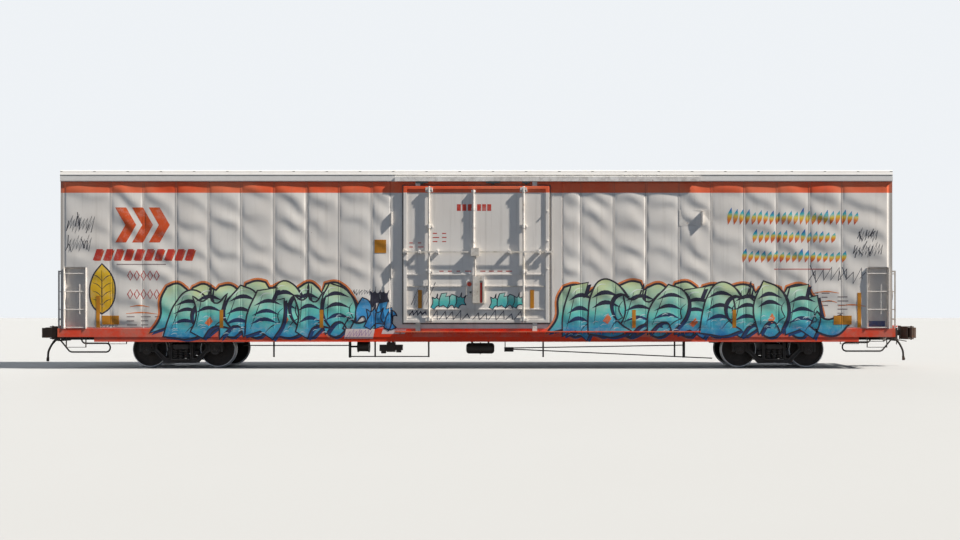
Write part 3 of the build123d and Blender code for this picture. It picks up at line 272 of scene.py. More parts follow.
class Finish(Nodes):
    """A material in the making, whose patterns lie on Object coordinates."""

    def __init__(self, name, roughness=0.6, metallic=0.0):
        self.material = bpy.data.materials.new(name)
        self.material.use_nodes = True
        super().__init__(self.material.node_tree)
        self.shader = self.tree.nodes["Principled BSDF"].inputs
        self.shader["Roughness"].default_value = roughness
        self.shader["Metallic"].default_value = metallic
        self.shader["Specular IOR Level"].default_value = 0.3
        self.place = self.tree.nodes.new("ShaderNodeTexCoord").outputs["Object"]

    def moved(self, scale=(1, 1, 1), location=(0, 0, 0)):
        """The place on the car, stretched and moved."""
        inputs = {"Vector": self.place, "Scale": scale, "Location": location}
        return self.node("ShaderNodeMapping", inputs).outputs[0]

    def axis(self, name):
        """The place along one axis."""
        return self.node("ShaderNodeSeparateXYZ", {0: self.place}).outputs[name]

    def from_middle(self, name):
        """The distance from the middle of the car along one axis."""
        return self.maths("ABSOLUTE", self.axis(name), clamp=False)

    def noise(self, scale, detail, roughness=0.5, place=None):
        """Cloudy noise between 0 and 1."""
        inputs = {"Vector": place or self.place, "Scale": scale, "Detail": detail, "Roughness": roughness}
        return self.node("ShaderNodeTexNoise", inputs).outputs[0]

    def levels(self, value, low, high, start=0.0, end=1.0):
        """The value stretched so that low becomes start and high becomes end."""
        inputs = {"Value": value, "From Min": low, "From Max": high, "To Min": start, "To Max": end}
        return self.node("ShaderNodeMapRange", inputs).outputs[0]

    def patches(self, scale, detail, roughness, low, high, start=0.0, end=1.0):
        """Noise, stretched in the same way."""
        return self.levels(self.noise(scale, detail, roughness), low, high, start, end)

    def blend(self, factor, first, second):
        """The first colour where factor is 0 and the second where it is 1."""
        return self.node("ShaderNodeMix", {0: factor, 6: first, 7: second}, data_type="RGBA").outputs[2]

    def done(self, colour, roughness=None, height=None, depth=0.001, strength=0.6):
        """The finished material."""
        self.tree.links.new(colour, self.shader["Base Color"])
        if roughness is not None:
            self.tree.links.new(roughness, self.shader["Roughness"])
        if height is not None:
            bump = self.node("ShaderNodeBump", {"Height": height, "Strength": strength, "Distance": depth})
            self.tree.links.new(bump.outputs[0], self.shader["Normal"])
        return self.material

    def weathered(self, tone, colours, dirt, rust, grain, roughness, depth):
        """The material with road dirt, rust and a fine grain. dirt and rust say how their patches lie."""
        tone = self.blend(self.patches(*dirt), tone, colours.grime_and_shade)
        tone = self.blend(self.patches(*rust), tone, colours.rust)
        fine = self.noise(grain, 6.0, 0.65)
        return self.done(tone, self.levels(fine, 0.3, 0.7, *roughness), fine, depth, 0.4)


def side_paint(name, colours, dirt=1.0):
    """White side paint: chalky patches, rain streaks, rust specks and the band under the eaves, with painted
    shade in the dirt's dark colour beside the laps and on faces set back from the side, and darker at the
    car's ends.
    """
    finish = Finish(name)
    height_on_car, out = finish.axis("Z"), finish.from_middle("X")
    chalky = finish.patches(0.7, 5.0, 0.6, 0.38, 0.62)
    white = finish.blend(chalky, colours.white, colours.faded)
    band = finish.blend(chalky, colours.band, colours.band_faded)
    tone = finish.blend(finish.levels(height_on_car, BAND_FOOT - 0.002, BAND_FOOT + 0.002), white, band)

    streaks = finish.noise(1.0, 6.0, 0.65, finish.moved((7.0, 7.0, 0.28)))
    run_down = finish.levels(streaks, 0.52, 0.76, 0.0, 0.2 * dirt)
    near_foot = finish.levels(height_on_car, 0.95, 2.1, 0.3 * dirt, 0.0)
    splashed = finish.product(near_foot, finish.patches(2.6, 7.0, 0.68, 0.32, 0.68))
    # Painted shade: a dark strip on both sides of every lap, where the lap throws its shadow.
    past_first = finish.maths("SUBTRACT", out, FIRST_SEAM, clamp=False)
    to_seam = finish.maths("PINGPONG", past_first, SEAM_PITCH / 2, clamp=False)
    shade_beside_lap = finish.levels(to_seam, 0.016, 0.028, 0.62, 0.0)
    shade_beside_lap = finish.product(shade_beside_lap, finish.levels(to_seam, 0.012, 0.015))
    shade_beside_lap = finish.product(shade_beside_lap, finish.maths("LESS_THAN", out, LAST_SEAM_LINE))
    shade_beside_lap = finish.product(shade_beside_lap, finish.maths("GREATER_THAN", out, POST_EDGE))
    # Painted shade: faces set back from the side, the backs of the ladder wells and the end walls, made
    # darker.
    shade_set_back = finish.levels(finish.from_middle("Y"), 1.40, 1.50, 0.42, 0.0)
    at_end = finish.levels(out, 10.61, 10.643, 0.0, 0.48)
    # Rain streaks and splashes are dirt; the strips beside the laps and the set-back faces are painted shade;
    # the ends are darker.
    for dirt_and_shade in (run_down, splashed, shade_beside_lap, shade_set_back, at_end):
        tone = finish.blend(dirt_and_shade, tone, colours.grime_and_shade)

    rusted = finish.patches(5.5, 9.0, 0.74, 0.685, 0.72, 0.0, 0.8)
    tone = finish.blend(rusted, tone, colours.rust)
    fine = finish.noise(42.0, 6.0, 0.6)
    relief = finish.maths("SUBTRACT", finish.product(fine, 0.4), finish.product(rusted, 0.3))
    return finish.done(tone, finish.levels(fine, 0.3, 0.7, 0.46, 0.66), relief, 0.0016, 0.45)


def worn_paint(name, base, worn, dirt, rust, amounts, roughness, grain=30.0, depth=0.002, metallic=0.0):
    """Paint or metal with fading, dirt and rust. amounts are how much of each there is, from 0 to 1."""
    fading, dirtying, rusting = amounts
    finish = Finish(name, roughness, metallic)
    middle = finish.noise(7.0, 8.0, 0.7)
    fine = finish.noise(grain, 6.0, 0.65)
    tone = finish.blend(finish.patches(1.6, 5.0, 0.6, 0.36, 0.64, 0.0, fading), base, worn)
    tone = finish.blend(finish.levels(middle, 0.40, 0.66, 0.0, dirtying), tone, dirt)
    low, high = 0.66 - 0.12 * rusting, 0.70 - 0.08 * rusting
    flaked = finish.patches(11.0, 10.0, 0.75, low, high, 0.0, min(1.0, 2.2 * rusting))
    tone = finish.blend(flaked, tone, rust)
    tone = finish.blend(finish.levels(fine, 0.3, 0.75, 0.0, 0.16), tone, dirt)
    rough = finish.levels(middle, 0.3, 0.7, roughness - 0.09, min(1.0, roughness + 0.13))
    relief = finish.maths("ADD", finish.product(fine, 0.5), finish.product(flaked, 0.3))
    return finish.done(tone, rough, relief, depth, 0.5)


def aged_paint(body, name, base, worn, *more):
    """Worn paint with the grime and the rust of the car body."""
    return worn_paint(name, base, worn, body.grime_and_shade, body.rust, *more)


def box_mask(finish, low, high):
    """1 inside a box on the car and 0 outside it."""
    inside = 1.0
    for axis, start, end in zip("XYZ", low, high):
        place = finish.axis(axis)
        past_start = finish.maths("GREATER_THAN", place, start)
        before_end = finish.maths("LESS_THAN", place, end)
        inside = finish.product(finish.product(past_start, before_end), inside)
    return inside


def sill_finish(name, colours):
    """Sill paint: bleached pinkish patches above its step and towards the ends, deeper below the step."""
    pinkish, deep_orange, chalk = (0.66, 0.17, 0.12, 1.0), (0.62, 0.030, 0.006, 1.0), (0.50, 0.21, 0.16, 1.0)
    finish = Finish(name)
    above_step = finish.maths("GREATER_THAN", finish.axis("Z"), SILL_STEP)
    bleached = finish.patches(1.1, 6.0, 0.7, 0.44, 0.62, 0.0, 0.8)
    tone = finish.blend(finish.product(bleached, above_step), colours.sill, pinkish)
    tone = finish.blend(finish.patches(3.0, 5.0, 0.6, 0.4, 0.7, 0.0, 0.3), tone, deep_orange)
    towards_end = finish.levels(finish.from_middle("X"), 3.0, 6.5, 0.0, 0.5)
    chalked = finish.product(towards_end, finish.patches(2.2, 7.0, 0.7, 0.38, 0.62, 0.3, 1.0))
    tone = finish.blend(chalked, tone, chalk)
    dirt, rust = (7.0, 8.0, 0.72, 0.52, 0.74, 0.0, 0.35), (13.0, 10.0, 0.75, 0.62, 0.68, 0.0, 0.8)
    return finish.weathered(tone, colours, dirt, rust, 44.0, (0.42, 0.64), 0.0014)


def track_finish(name, colours):
    """White hood over the door and orange ledge under it, both rusty where the rollers run."""
    finish = Finish(name, 0.5)
    is_hood = finish.maths("GREATER_THAN", finish.axis("Z"), 2.0)
    chalky = finish.patches(1.3, 5.0, 0.6, 0.38, 0.62)
    hood = finish.blend(chalky, colours.trim, colours.faded)
    ledge = finish.blend(chalky, colours.sill, colours.band_faded)
    dirt, rust = (6.0, 8.0, 0.7, 0.42, 0.68, 0.0, 0.5), (9.0, 10.0, 0.75, 0.62, 0.68, 0.0, 0.8)
    tone = finish.blend(is_hood, ledge, hood)
    return finish.weathered(tone, colours, dirt, rust, 50.0, (0.42, 0.66), 0.001)


def gear_finish(name, colours, side):
    """Cream door gear with rust, and a red handle in its housing."""
    cream, handle_red = (0.66, 0.61, 0.52, 1.0), (0.45, 0.03, 0.02, 1.0)
    handle_edges = sorted((side * 0.100, side * 0.156))
    finish = Finish(name, 0.45)
    tone = finish.blend(finish.patches(2.2, 6.0, 0.65, 0.38, 0.62), cream, colours.white)
    handle = box_mask(finish, (handle_edges[0], -1.66, 1.70), (handle_edges[1], 1.66, 2.22))
    dirt, rust = (8.0, 8.0, 0.7, 0.46, 0.72, 0.0, 0.45), (12.0, 10.0, 0.76, 0.60, 0.66, 0.0, 0.8)
    tone = finish.blend(handle, tone, handle_red)
    return finish.weathered(tone, colours, dirt, rust, 70.0, (0.36, 0.6), 0.0008)


def wheel_finish(name, colours, centre):
    """Rusty wheel whose rim ring and tread the rail keeps bright, centred on its axle; the pale ring is also
    a painted highlight.
    """
    finish = Finish(name)
    centred = finish.moved((1, 0, 1), (-centre[0], 0, -centre[2]))
    from_axle = finish.node("ShaderNodeVectorMath", {0: centred}, operation="LENGTH").outputs["Value"]
    rusty = finish.blend(finish.patches(9.0, 8.0, 0.7, 0.35, 0.65), colours.wheel, colours.dust)
    rusty = finish.blend(finish.patches(3.0, 4.0, 0.5, 0.45, 0.7, 0.0, 0.6), rusty, colours.underframe)
    # Painted highlight: the worn rim ring is bright steel, and its pale colour also stands in for the light
    # along the rim.
    worn_ring_and_highlight = finish.levels(from_axle, 0.4380, 0.4410)
    bright = finish.product(worn_ring_and_highlight, finish.patches(26.0, 5.0, 0.6, 0.25, 0.4, 0.86, 1.0))
    tone = finish.blend(bright, rusty, colours.tread)
    rough = finish.levels(bright, 0.0, 1.0, 0.72, 0.4)
    finish.tree.links.new(finish.levels(bright, 0.0, 1.0, 0.0, 0.15), finish.shader["Metallic"])
    relief = finish.product(finish.noise(60.0, 6.0, 0.7), finish.levels(bright, 0.0, 1.0, 0.8, 0.1))
    return finish.done(tone, rough, relief, 0.0015, 0.5)


def gradient_paint(name, low, high, stops, haze=(0.75, 0.72, 0.68, 1.0)):
    """Sprayed paint whose colour changes with height, clouded where the cans overlap."""
    finish = Finish(name, 0.45)
    drift = finish.patches(1.7, 4.0, 0.6, 0.25, 0.75, -0.16, 0.16)
    rise = finish.levels(finish.axis("Z"), low, high)
    ramp = finish.node("ShaderNodeValToRGB", {0: finish.maths("ADD", rise, drift, clamp=False)})
    marks = ramp.color_ramp.elements
    while len(marks) < len(stops):
        marks.new(0.5)
    for mark, (place, shade) in zip(marks, stops):
        mark.position = place
        mark.color = (*shade[:3], 1.0)
    tone = finish.blend(finish.patches(6.0, 6.0, 0.7, 0.5, 0.8, 0.0, 0.35), ramp.outputs[0], haze)
    tone = finish.blend(finish.patches(14.0, 9.0, 0.75, 0.66, 0.72, 0.0, 0.5), tone, haze)
    fine = finish.noise(60.0, 5.0, 0.6)
    return finish.done(tone, finish.levels(fine, 0.3, 0.7, 0.38, 0.6), fine, 0.0006, 0.3)


def wear(material, *names):
    """Gives nodes of the frame their finish."""
    for name in names:
        node = nodes[name]
        if not node.material_slots:
            node.data.materials.append(material)
        for slot in node.material_slots:
            slot.material = material


def new_piece(name, shape, material, body="carbody", smooth=False):
    """Makes a piece of the object from a finished bmesh."""
    mesh = bpy.data.meshes.new(name)
    shape.to_mesh(mesh)
    shape.free()
    mesh.materials.append(material)
    if smooth:
        mesh.shade_smooth()
    piece = bpy.data.objects.new(name, mesh)
    bpy.context.scene.collection.objects.link(piece)
    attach(piece, body)
    return piece


def block(shape, low, high, rounding=0.0):
    """Adds a block between two corners, with its edges rounded."""
    low, high = Vector(low), Vector(high)
    size = Matrix.Diagonal((*(high - low), 1))
    made = bmesh.ops.create_cube(shape, size=1.0, matrix=Matrix.Translation((low + high) / 2) @ size)
    if rounding:
        edges = list({edge for vert in made["verts"] for edge in vert.link_edges})
        bmesh.ops.bevel(
            shape,
            geom=edges,
            offset=rounding,
            segments=2,
            profile=0.5,
            affect="EDGES",
            material=-1,
            clamp_overlap=True,
        )


def bar(shape, start, end, radius, sides=12, far_radius=None):
    """Adds a round bar, or a cone, from start to end."""
    start, end = Vector(start), Vector(end)
    run = end - start
    turn = run.to_track_quat("Z", "Y").to_matrix().to_4x4()
    bmesh.ops.create_cone(
        shape,
        cap_ends=True,
        segments=sides,
        radius1=radius,
        radius2=radius if far_radius is None else far_radius,
        depth=run.length,
        matrix=Matrix.Translation((start + end) / 2) @ turn,
    )


def stud(shape, x, z, near, far, radius, sides, far_radius=None):
    """Adds a round bar that stands out of the near side, from near to far."""
    bar(shape, (x, -near, z), (x, -far, z), radius, sides, far_radius)


def repeated(unit, places):
    """One bmesh that holds the unit at each of the places."""
    pattern = bpy.data.meshes.new("unit")
    unit.to_mesh(pattern)
    unit.free()
    joined = bmesh.new()
    for place in places:
        copy = pattern.copy()
        copy.transform(place)
        joined.from_mesh(copy)
        bpy.data.meshes.remove(copy)
    bpy.data.meshes.remove(pattern)
    return joined


def both_sides(shape):
    """The near side's shape together with its copy on the far side, half a turn round."""
    return repeated(shape, [Matrix.Identity(4), HALF_TURN])


def added(shape, other):
    """Adds another shape to the first one and frees it."""
    mesh = bpy.data.meshes.new("part")
    other.to_mesh(mesh)
    other.free()
    shape.from_mesh(mesh)
    bpy.data.meshes.remove(mesh)


def cut(shape, point, normal, keep_below=False):
    """Cuts a shape along a plane, and can take away the part that the normal points to."""
    everything = [*shape.verts, *shape.edges, *shape.faces]
    bmesh.ops.bisect_plane(shape, geom=everything, plane_co=point, plane_no=normal, clear_outer=keep_below)


def even_steps(start, end, step):
    """Places from start to end, as near to that step apart as divides the length evenly."""
    count = round((end - start) / step)
    return [start + (end - start) * number / count for number in range(count + 1)]


def panel_chances():
    """What differs from panel to panel: the slant, the height and the fullness of its dents."""
    chance = random.Random(7)
    made = {}
    for panel in range(SEAM_COUNT + 1):
        for side in (-1, 1):
            made[panel, side] = chance.uniform(0.2, 0.8), chance.uniform(0.0, 0.5), chance.uniform(0.75, 1.0)
    return made


chances = panel_chances()


def lap_margin(sizes):
    """How far from a seam the dents begin."""
    return sizes.lap_width / 2 + 0.008


def dent(x, z, sizes):
    """How far the near side's sheet stands out of the wall at a point."""
    out, side = abs(x), 1 if x > 0 else -1
    panel = sum(1 for edge in panel_edges[1:-1] if out > edge)
    start, end = panel_edges[panel], panel_edges[panel + 1]
    margin = lap_margin(sizes)
    across = min(1.0, max(0.0, (out - start - margin) / (end - start - 2 * margin)))
    slant, offset, fullness = chances[panel, side]
    from_left = across if side > 0 else 1.0 - across
    wobble = noise.noise(Vector((1.9 * x, 0.0, 1.5 * z)))
    turn = (z / sizes.dent_pitch + slant * from_left + offset + 0.26 * wobble) % 1.0
    short_rise = 0.40
    if turn < short_rise:
        roll = 0.5 - 0.5 * math.cos(math.pi * turn / short_rise)
    else:
        roll = 0.5 + 0.5 * math.cos(math.pi * (turn - short_rise) / (1 - short_rise))
    fullness *= math.sin(math.pi * across) ** 0.5
    uneven = 0.72 + 0.5 * noise.noise(Vector((1.1 * x + 7.3, 3.1, 1.3 * z)))
    slow = 0.5 + 0.5 * noise.noise(Vector((0.8 * x, 9.7, 0.7 * z)))

    fade_at_sill, fade_at_eave, fade_at_well = 0.2, 0.12, 0.3
    fade = min(1.0, (z - SIDE_FOOT) / fade_at_sill, (SIDE_TOP - z) / fade_at_eave)
    if out > WELL_EDGE - fade_at_well and z < WELL_TOP + fade_at_well:
        fade = min(fade, max((WELL_EDGE - out) / fade_at_well, (z - WELL_TOP) / fade_at_well))
    return 0.0004 + sizes.dent_depth * max(0.0, fade) * fullness * (0.62 * roll * uneven + 0.3 * slow)


def halfway(places):
    """The points halfway between neighbours."""
    return [(first + second) / 2 for first, second in zip(places, places[1:])]


class SideSurface:
    """The near side's surface as the faces of its sheets give it, so that paint lies close on it."""

    def __init__(self, sizes):
        self.half_lap = sizes.lap_width / 2
        self.lap_proud = sizes.lap_proud
        margin = lap_margin(sizes)
        right = even_steps(POST_EDGE, CORNER_EDGE, sizes.cell)
        right += [seam + side * margin for seam in seams for side in (-1, 1)]
        right = sorted({round(x, 6) for x in [*right, WELL_EDGE]})
        self.columns = [-x for x in reversed(right)] + right
        self.rows = sorted([*even_steps(SIDE_FOOT, SIDE_TOP, sizes.cell), WELL_TOP])
        self.stands = [[dent(x, z, sizes) for z in self.rows] for x in self.columns]
        lap_side = 0.003
        offsets = (self.half_lap, self.half_lap + lap_side)
        steps = [seam + side * offset for seam in seams for side in (-1, 1) for offset in offsets]
        steps += [POST_EDGE, POST_EDGE + lap_side]
        sheet_halves = [x for x in halfway(self.columns) if abs(x) > POST_EDGE]
        self.cuts = sorted([*self.columns, *sheet_halves, *steps, *(-x for x in steps)])
        self.levels = sorted([*self.rows, *halfway(self.rows)])

    def depth(self, x, z):
        """How far out the surface is above the sill: the posts, the dented sheets and their laps."""
        if abs(x) < POST_EDGE + 0.001:
            return POST_FACE
        column = min(max(bisect(self.columns, x) - 1, 0), len(self.columns) - 2)
        row = min(max(bisect(self.rows, z) - 1, 0), len(self.rows) - 2)
        left, right = self.columns[column : column + 2]
        foot, head = self.rows[row : row + 2]
        along = min(1.0, max(0.0, (x - left) / (right - left)))
        up = min(1.0, max(0.0, (z - foot) / (head - foot)))
        first, second = self.stands[column], self.stands[column + 1]
        low = first[row] + (second[row] - first[row]) * along
        high = first[row + 1] + (second[row + 1] - first[row + 1]) * along
        from_seam = min(abs(abs(x) - seam) for seam in seams)
        lap = self.lap_proud if from_seam < self.half_lap + 0.001 else 0.0
        return SIDE_FACE + max(low + (high - low) * up, lap + 0.0004)


def side_sheet(sizes, start, end):
    """One length of the near side's sheet, swollen between its laps."""
    shape = bmesh.new()
    width, height = end - start, SIDE_TOP - SIDE_FOOT
    columns, rows = round(width / sizes.cell), round(height / sizes.cell)
    place = Matrix.Translation(((start + end) / 2, 0, (SIDE_FOOT + SIDE_TOP) / 2)) @ UPRIGHT
    size = Matrix.Diagonal((width / 2, height / 2, 1, 1))
    bmesh.ops.create_grid(shape, x_segments=columns, y_segments=rows, size=1.0, matrix=place @ size)
    side = 1 if start > 0 else -1
    margin = lap_margin(sizes)
    for x in [side * (seam + offset) for seam in seams for offset in (-margin, margin)] + [side * WELL_EDGE]:
        cut(shape, (x, 0, 0), (1, 0, 0))
    cut(shape, (0, 0, WELL_TOP), (0, 0, 1))
    in_well = []
    for face in shape.faces:
        middle = face.calc_center_median()
        if abs(middle.x) > WELL_EDGE and middle.z < WELL_TOP:
            in_well.append(face)
    bmesh.ops.delete(shape, geom=in_well, context="FACES")
    rim = [edge for edge in shape.edges if edge.is_boundary]
    turned_back = bmesh.ops.extrude_edge_only(shape, edges=rim)["geom"]
    back = {item for item in turned_back if isinstance(item, bmesh.types.BMVert)}
    for vert in shape.verts:
        vert.co.y = -SIDE_FACE + 0.002 if vert in back else -SIDE_FACE - dent(vert.co.x, vert.co.z, sizes)
    bmesh.ops.recalc_face_normals(shape, faces=shape.faces)
    facing = sum(face.normal.y * face.calc_area() for face in shape.faces)
    if facing > 0:
        bmesh.ops.reverse_faces(shape, faces=shape.faces)
    return shape


def flat_shape(points, width=None, closed=True):
    """A flat shape in X and Z, filled, or a brush stroke of that width along the points.

    A point is (x, z), with a third value where the line turns sharply.
    """
    line = bpy.data.curves.new("outline", "CURVE")
    line.resolution_u = 5
    spline = line.splines.new("BEZIER")
    spline.bezier_points.add(len(points) - 1)
    spline.use_cyclic_u = closed
    for knot, (x, z, *corner) in zip(spline.bezier_points, points):
        knot.co = (x, z, 0)
        knot.handle_left_type = knot.handle_right_type = "VECTOR" if corner else "AUTO"
        knot.tilt = math.pi / 2
    if width is None:
        line.dimensions = "2D"
        line.fill_mode = "BOTH"
    else:
        line.dimensions = "3D"
        line.twist_mode = "Z_UP"
        line.extrude = width / 2
        if not closed:
            spline.bezier_points[0].radius = spline.bezier_points[-1].radius = 0.35
    holder = bpy.data.objects.new("outline", line)
    mesh = bpy.data.meshes.new_from_object(holder)
    bpy.data.objects.remove(holder)
    bpy.data.curves.remove(line)
    shape = bmesh.new()
    shape.from_mesh(mesh)
    bpy.data.meshes.remove(mesh)
    bmesh.ops.transform(shape, matrix=UPRIGHT, verts=shape.verts)
    shape.normal_update()
    inward = [face for face in shape.faces if face.normal.y > 0]
    bmesh.ops.reverse_faces(shape, faces=inward)
    return shape


def draped(shape, layer, surface, strips=SIDE_STRIPS):
    """The shape laid on the near side as a coat of paint.

    It is cut where the side steps in or out, and along the faces and laps of the dented sheets.
    """
    coat = bmesh.new()
    lift = 0.0011 + 0.0003 * layer
    for low, high, depth in strips:
        part = shape.copy()
        cut(part, (0, 0, low), (0, 0, -1), keep_below=True)
        cut(part, (0, 0, high), (0, 0, 1), keep_below=True)
        if part.faces and depth is None:
            places = [vert.co for vert in part.verts]
            left, right = min(place.x for place in places), max(place.x for place in places)
            foot, head = min(place.z for place in places), max(place.z for place in places)
            for x in surface.cuts:
                if left < x < right:
                    cut(part, (x, 0, 0), (1, 0, 0))
            for z in surface.levels:
                if foot < z < head:
                    cut(part, (0, 0, z), (0, 0, 1))
        for vert in part.verts:
            face = surface.depth(vert.co.x, vert.co.z) if depth is None else depth
            vert.co.y = -face - lift
        added(coat, part)
    shape.free()
    return coat


class Coats:
    """Coats of paint on the near side. Each finish makes one piece, and a higher layer lies further out."""

    def __init__(self, sizes, finishes):
        self.surface = SideSurface(sizes)
        self.finishes = finishes
        self.shapes = {name: bmesh.new() for name in finishes}

    def lay(self, name, shape, layer, strips):
        """Adds a shape to a coat."""
        added(self.shapes[name], draped(shape, layer, self.surface, strips))

    def fill(self, name, points, layer, strips=SIDE_STRIPS):
        """Lays a filled shape."""
        self.lay(name, flat_shape(points), layer, strips)

    def outline(self, name, points, width, layer, strips=SIDE_STRIPS):
        """Lays a line along the whole edge of a shape."""
        self.lay(name, flat_shape(points, width), layer, strips)

    def stroke(self, name, points, width, layer, strips=SIDE_STRIPS):
        """Lays an open line that thins out at its ends."""
        self.lay(name, flat_shape(points, width, closed=False), layer, strips)

    def finish_pieces(self, prefix):
        """Makes a piece of every coat."""
        for name, shape in self.shapes.items():
            new_piece(f"{prefix}_{name}", shape, self.finishes[name])


def placed(motif, left, foot, width, height, lean):
    """A motif's points, drawn in a unit square, set at their place on the side."""
    return [(left + across * width + lean * up, foot + up * height, *corner) for across, up, *corner in motif]


def shifted(points, along, up):
    """The same points, moved."""
    return [(x + along, z + up, *corner) for x, z, *corner in points]


def slanted(left, right, foot, head, lean=0.0):
    """The corners of a rectangle whose head leans to the right."""
    return [(left, foot, 1), (right, foot, 1), (right + lean, head, 1), (left + lean, head, 1)]


def scribble(left, right, foot, head, turns, chance):
    """Points of one quick slanted zigzag line, which spells nothing."""
    points = []
    tall = head - foot
    for step in range(turns):
        x = left + (right - left) * (step + chance.uniform(-0.12, 0.12)) / (turns - 1)
        up = chance.uniform(0.66, 1.0) if step % 2 else chance.uniform(0.0, 0.3)
        points.append((x + 0.34 * up * tall, foot + up * tall, 1))
    return points


def blob(left, right, foot, head, bumps, chance):
    """The outline of a long sprayed piece, with a lumpy head and a jagged foot."""
    pitch = (right - left) / bumps
    top, bottom = [], []
    for number in range(bumps):
        start = left + pitch * number
        rise = head - chance.uniform(0.0, 0.16)
        top.append((start + 0.14 * pitch, rise - chance.uniform(0.0, 0.10), 1))
        top.append((start + 0.55 * pitch, rise + 0.03))
        top.append((start + 0.88 * pitch, rise - chance.uniform(0.0, 0.12), 1))
        top.append((start + 1.0 * pitch, rise - chance.uniform(0.12, 0.26), 1))
        bottom.append((start + 0.08 * pitch, foot + chance.uniform(0.20, 0.30), 1))
        bottom.append((start + 0.44 * pitch, foot + chance.uniform(0.0, 0.05)))
        bottom.append((start + 0.70 * pitch, foot + chance.uniform(0.0, 0.06), 1))
    middle = (foot + head) / 2
    right_end = [(right + 0.18, middle + 0.2), (right + 0.3, middle - 0.15, 1)]
    left_end = [(left - 0.35, foot + 0.12, 1), (left - 0.08, middle - 0.2)]
    return [(left - 0.05, middle + 0.3), *top, *right_end, *reversed(bottom), *left_end]


def lay_floor(colour):
    """A pale floor, darker for the light that it throws back on the car."""
    grid = bmesh.new()
    bmesh.ops.create_grid(grid, x_segments=1, y_segments=1, size=160.0)
    mesh = bpy.data.meshes.new("floor_plane")
    grid.to_mesh(mesh)
    grid.free()
    shaded, reflecting = (0.36, 0.36, 0.36, 1.0), (0.05, 0.05, 0.05, 1.0)
    finish = Finish("floor_finish", 0.9)
    pale = finish.blend(finish.patches(0.35, 4.0, 0.5, 0.3, 0.7, 0.0, 0.06), colour, shaded)
    mesh.materials.append(finish.done(finish.blend(finish.seen(), reflecting, pale)))
    plane = bpy.data.objects.new("floor_plane", mesh)
    bpy.context.scene.collection.objects.link(plane)


def hang_sky(strength):
    """A plain backdrop for the camera and a bluish light from all round."""
    world = bpy.data.worlds.new("sky")
    world.use_nodes = True
    bpy.context.scene.world = world
    sky = Nodes(world.node_tree)
    lighting = sky.tree.nodes["Background"]
    lighting.inputs["Color"].default_value = (0.68, 0.84, 1.0, 1.0)
    lighting.inputs["Strength"].default_value = strength
    backdrop = sky.node("ShaderNodeBackground", {"Color": (0.86, 0.89, 0.92, 1.0)})
    either = sky.node("ShaderNodeMixShader", {0: sky.seen(), 1: lighting.outputs[0], 2: backdrop.outputs[0]})
    sky.tree.links.new(either.outputs[0], sky.tree.nodes["World Output"].inputs["Surface"])


def hang_lamps(settings):
    """The sun, which grazes the near side from the right, and three soft lamps."""
    fill, wide = settings.fill, math.radians(60)
    # Name, where the light comes from, strength, angle across and colour
    lamps = (
        ("sun", (0.70, -0.152, 0.70), settings.sun, settings.sun_width, (1.0, 0.935, 0.84)),
        ("fill_near", (0.25, -1.0, 0.16), 0.85 * fill, wide, (0.34, 0.58, 1.0)),
        ("fill_far", (-0.25, 1.0, 0.22), 3.0 * fill, wide, (0.92, 0.96, 1.0)),
        ("fill_end", (-1.0, -0.2, 0.2), 1.9 * fill, wide, (0.88, 0.94, 1.0)),
    )
    for name, direction, strength, width, tone in lamps:
        light = bpy.data.lights.new(name, "SUN")
        light.energy = strength
        light.angle = width
        light.color = tone
        lamp = bpy.data.objects.new(name, light)
        lamp.rotation_mode = "QUATERNION"
        lamp.rotation_quaternion = Vector(direction).to_track_quat("Z", "Y")
        bpy.context.scene.collection.objects.link(lamp)


def place_camera():
    """The camera where the photograph was taken, level and square on to the side."""
    lens = bpy.data.cameras.new("camera")
    lens.sensor_width = 36.0
    lens.lens = 46.39
    lens.shift_x = -0.0792
    lens.shift_y = 0.0396
    lens.clip_end = 400.0
    camera = bpy.data.objects.new("camera", lens)
    camera.location = (2.045, -33.33, 1.5654)
    camera.rotation_euler = (math.pi / 2, 0, 0)
    bpy.context.scene.collection.objects.link(camera)
    bpy.context.scene.camera = camera


class REEFER_OT_stage(Operator):
    """Floor, sun, sky and the camera where the photograph was taken"""

    bl_idname = "reefer.stage"
    bl_label = "Stage"

    def execute(self, context):
        settings = context.scene.reefer_stage
        context.scene.view_settings.view_transform = "Standard"
        lay_floor(settings.floor)
        hang_sky(settings.sky)
        hang_lamps(settings)
        place_camera()
        return {"FINISHED"}


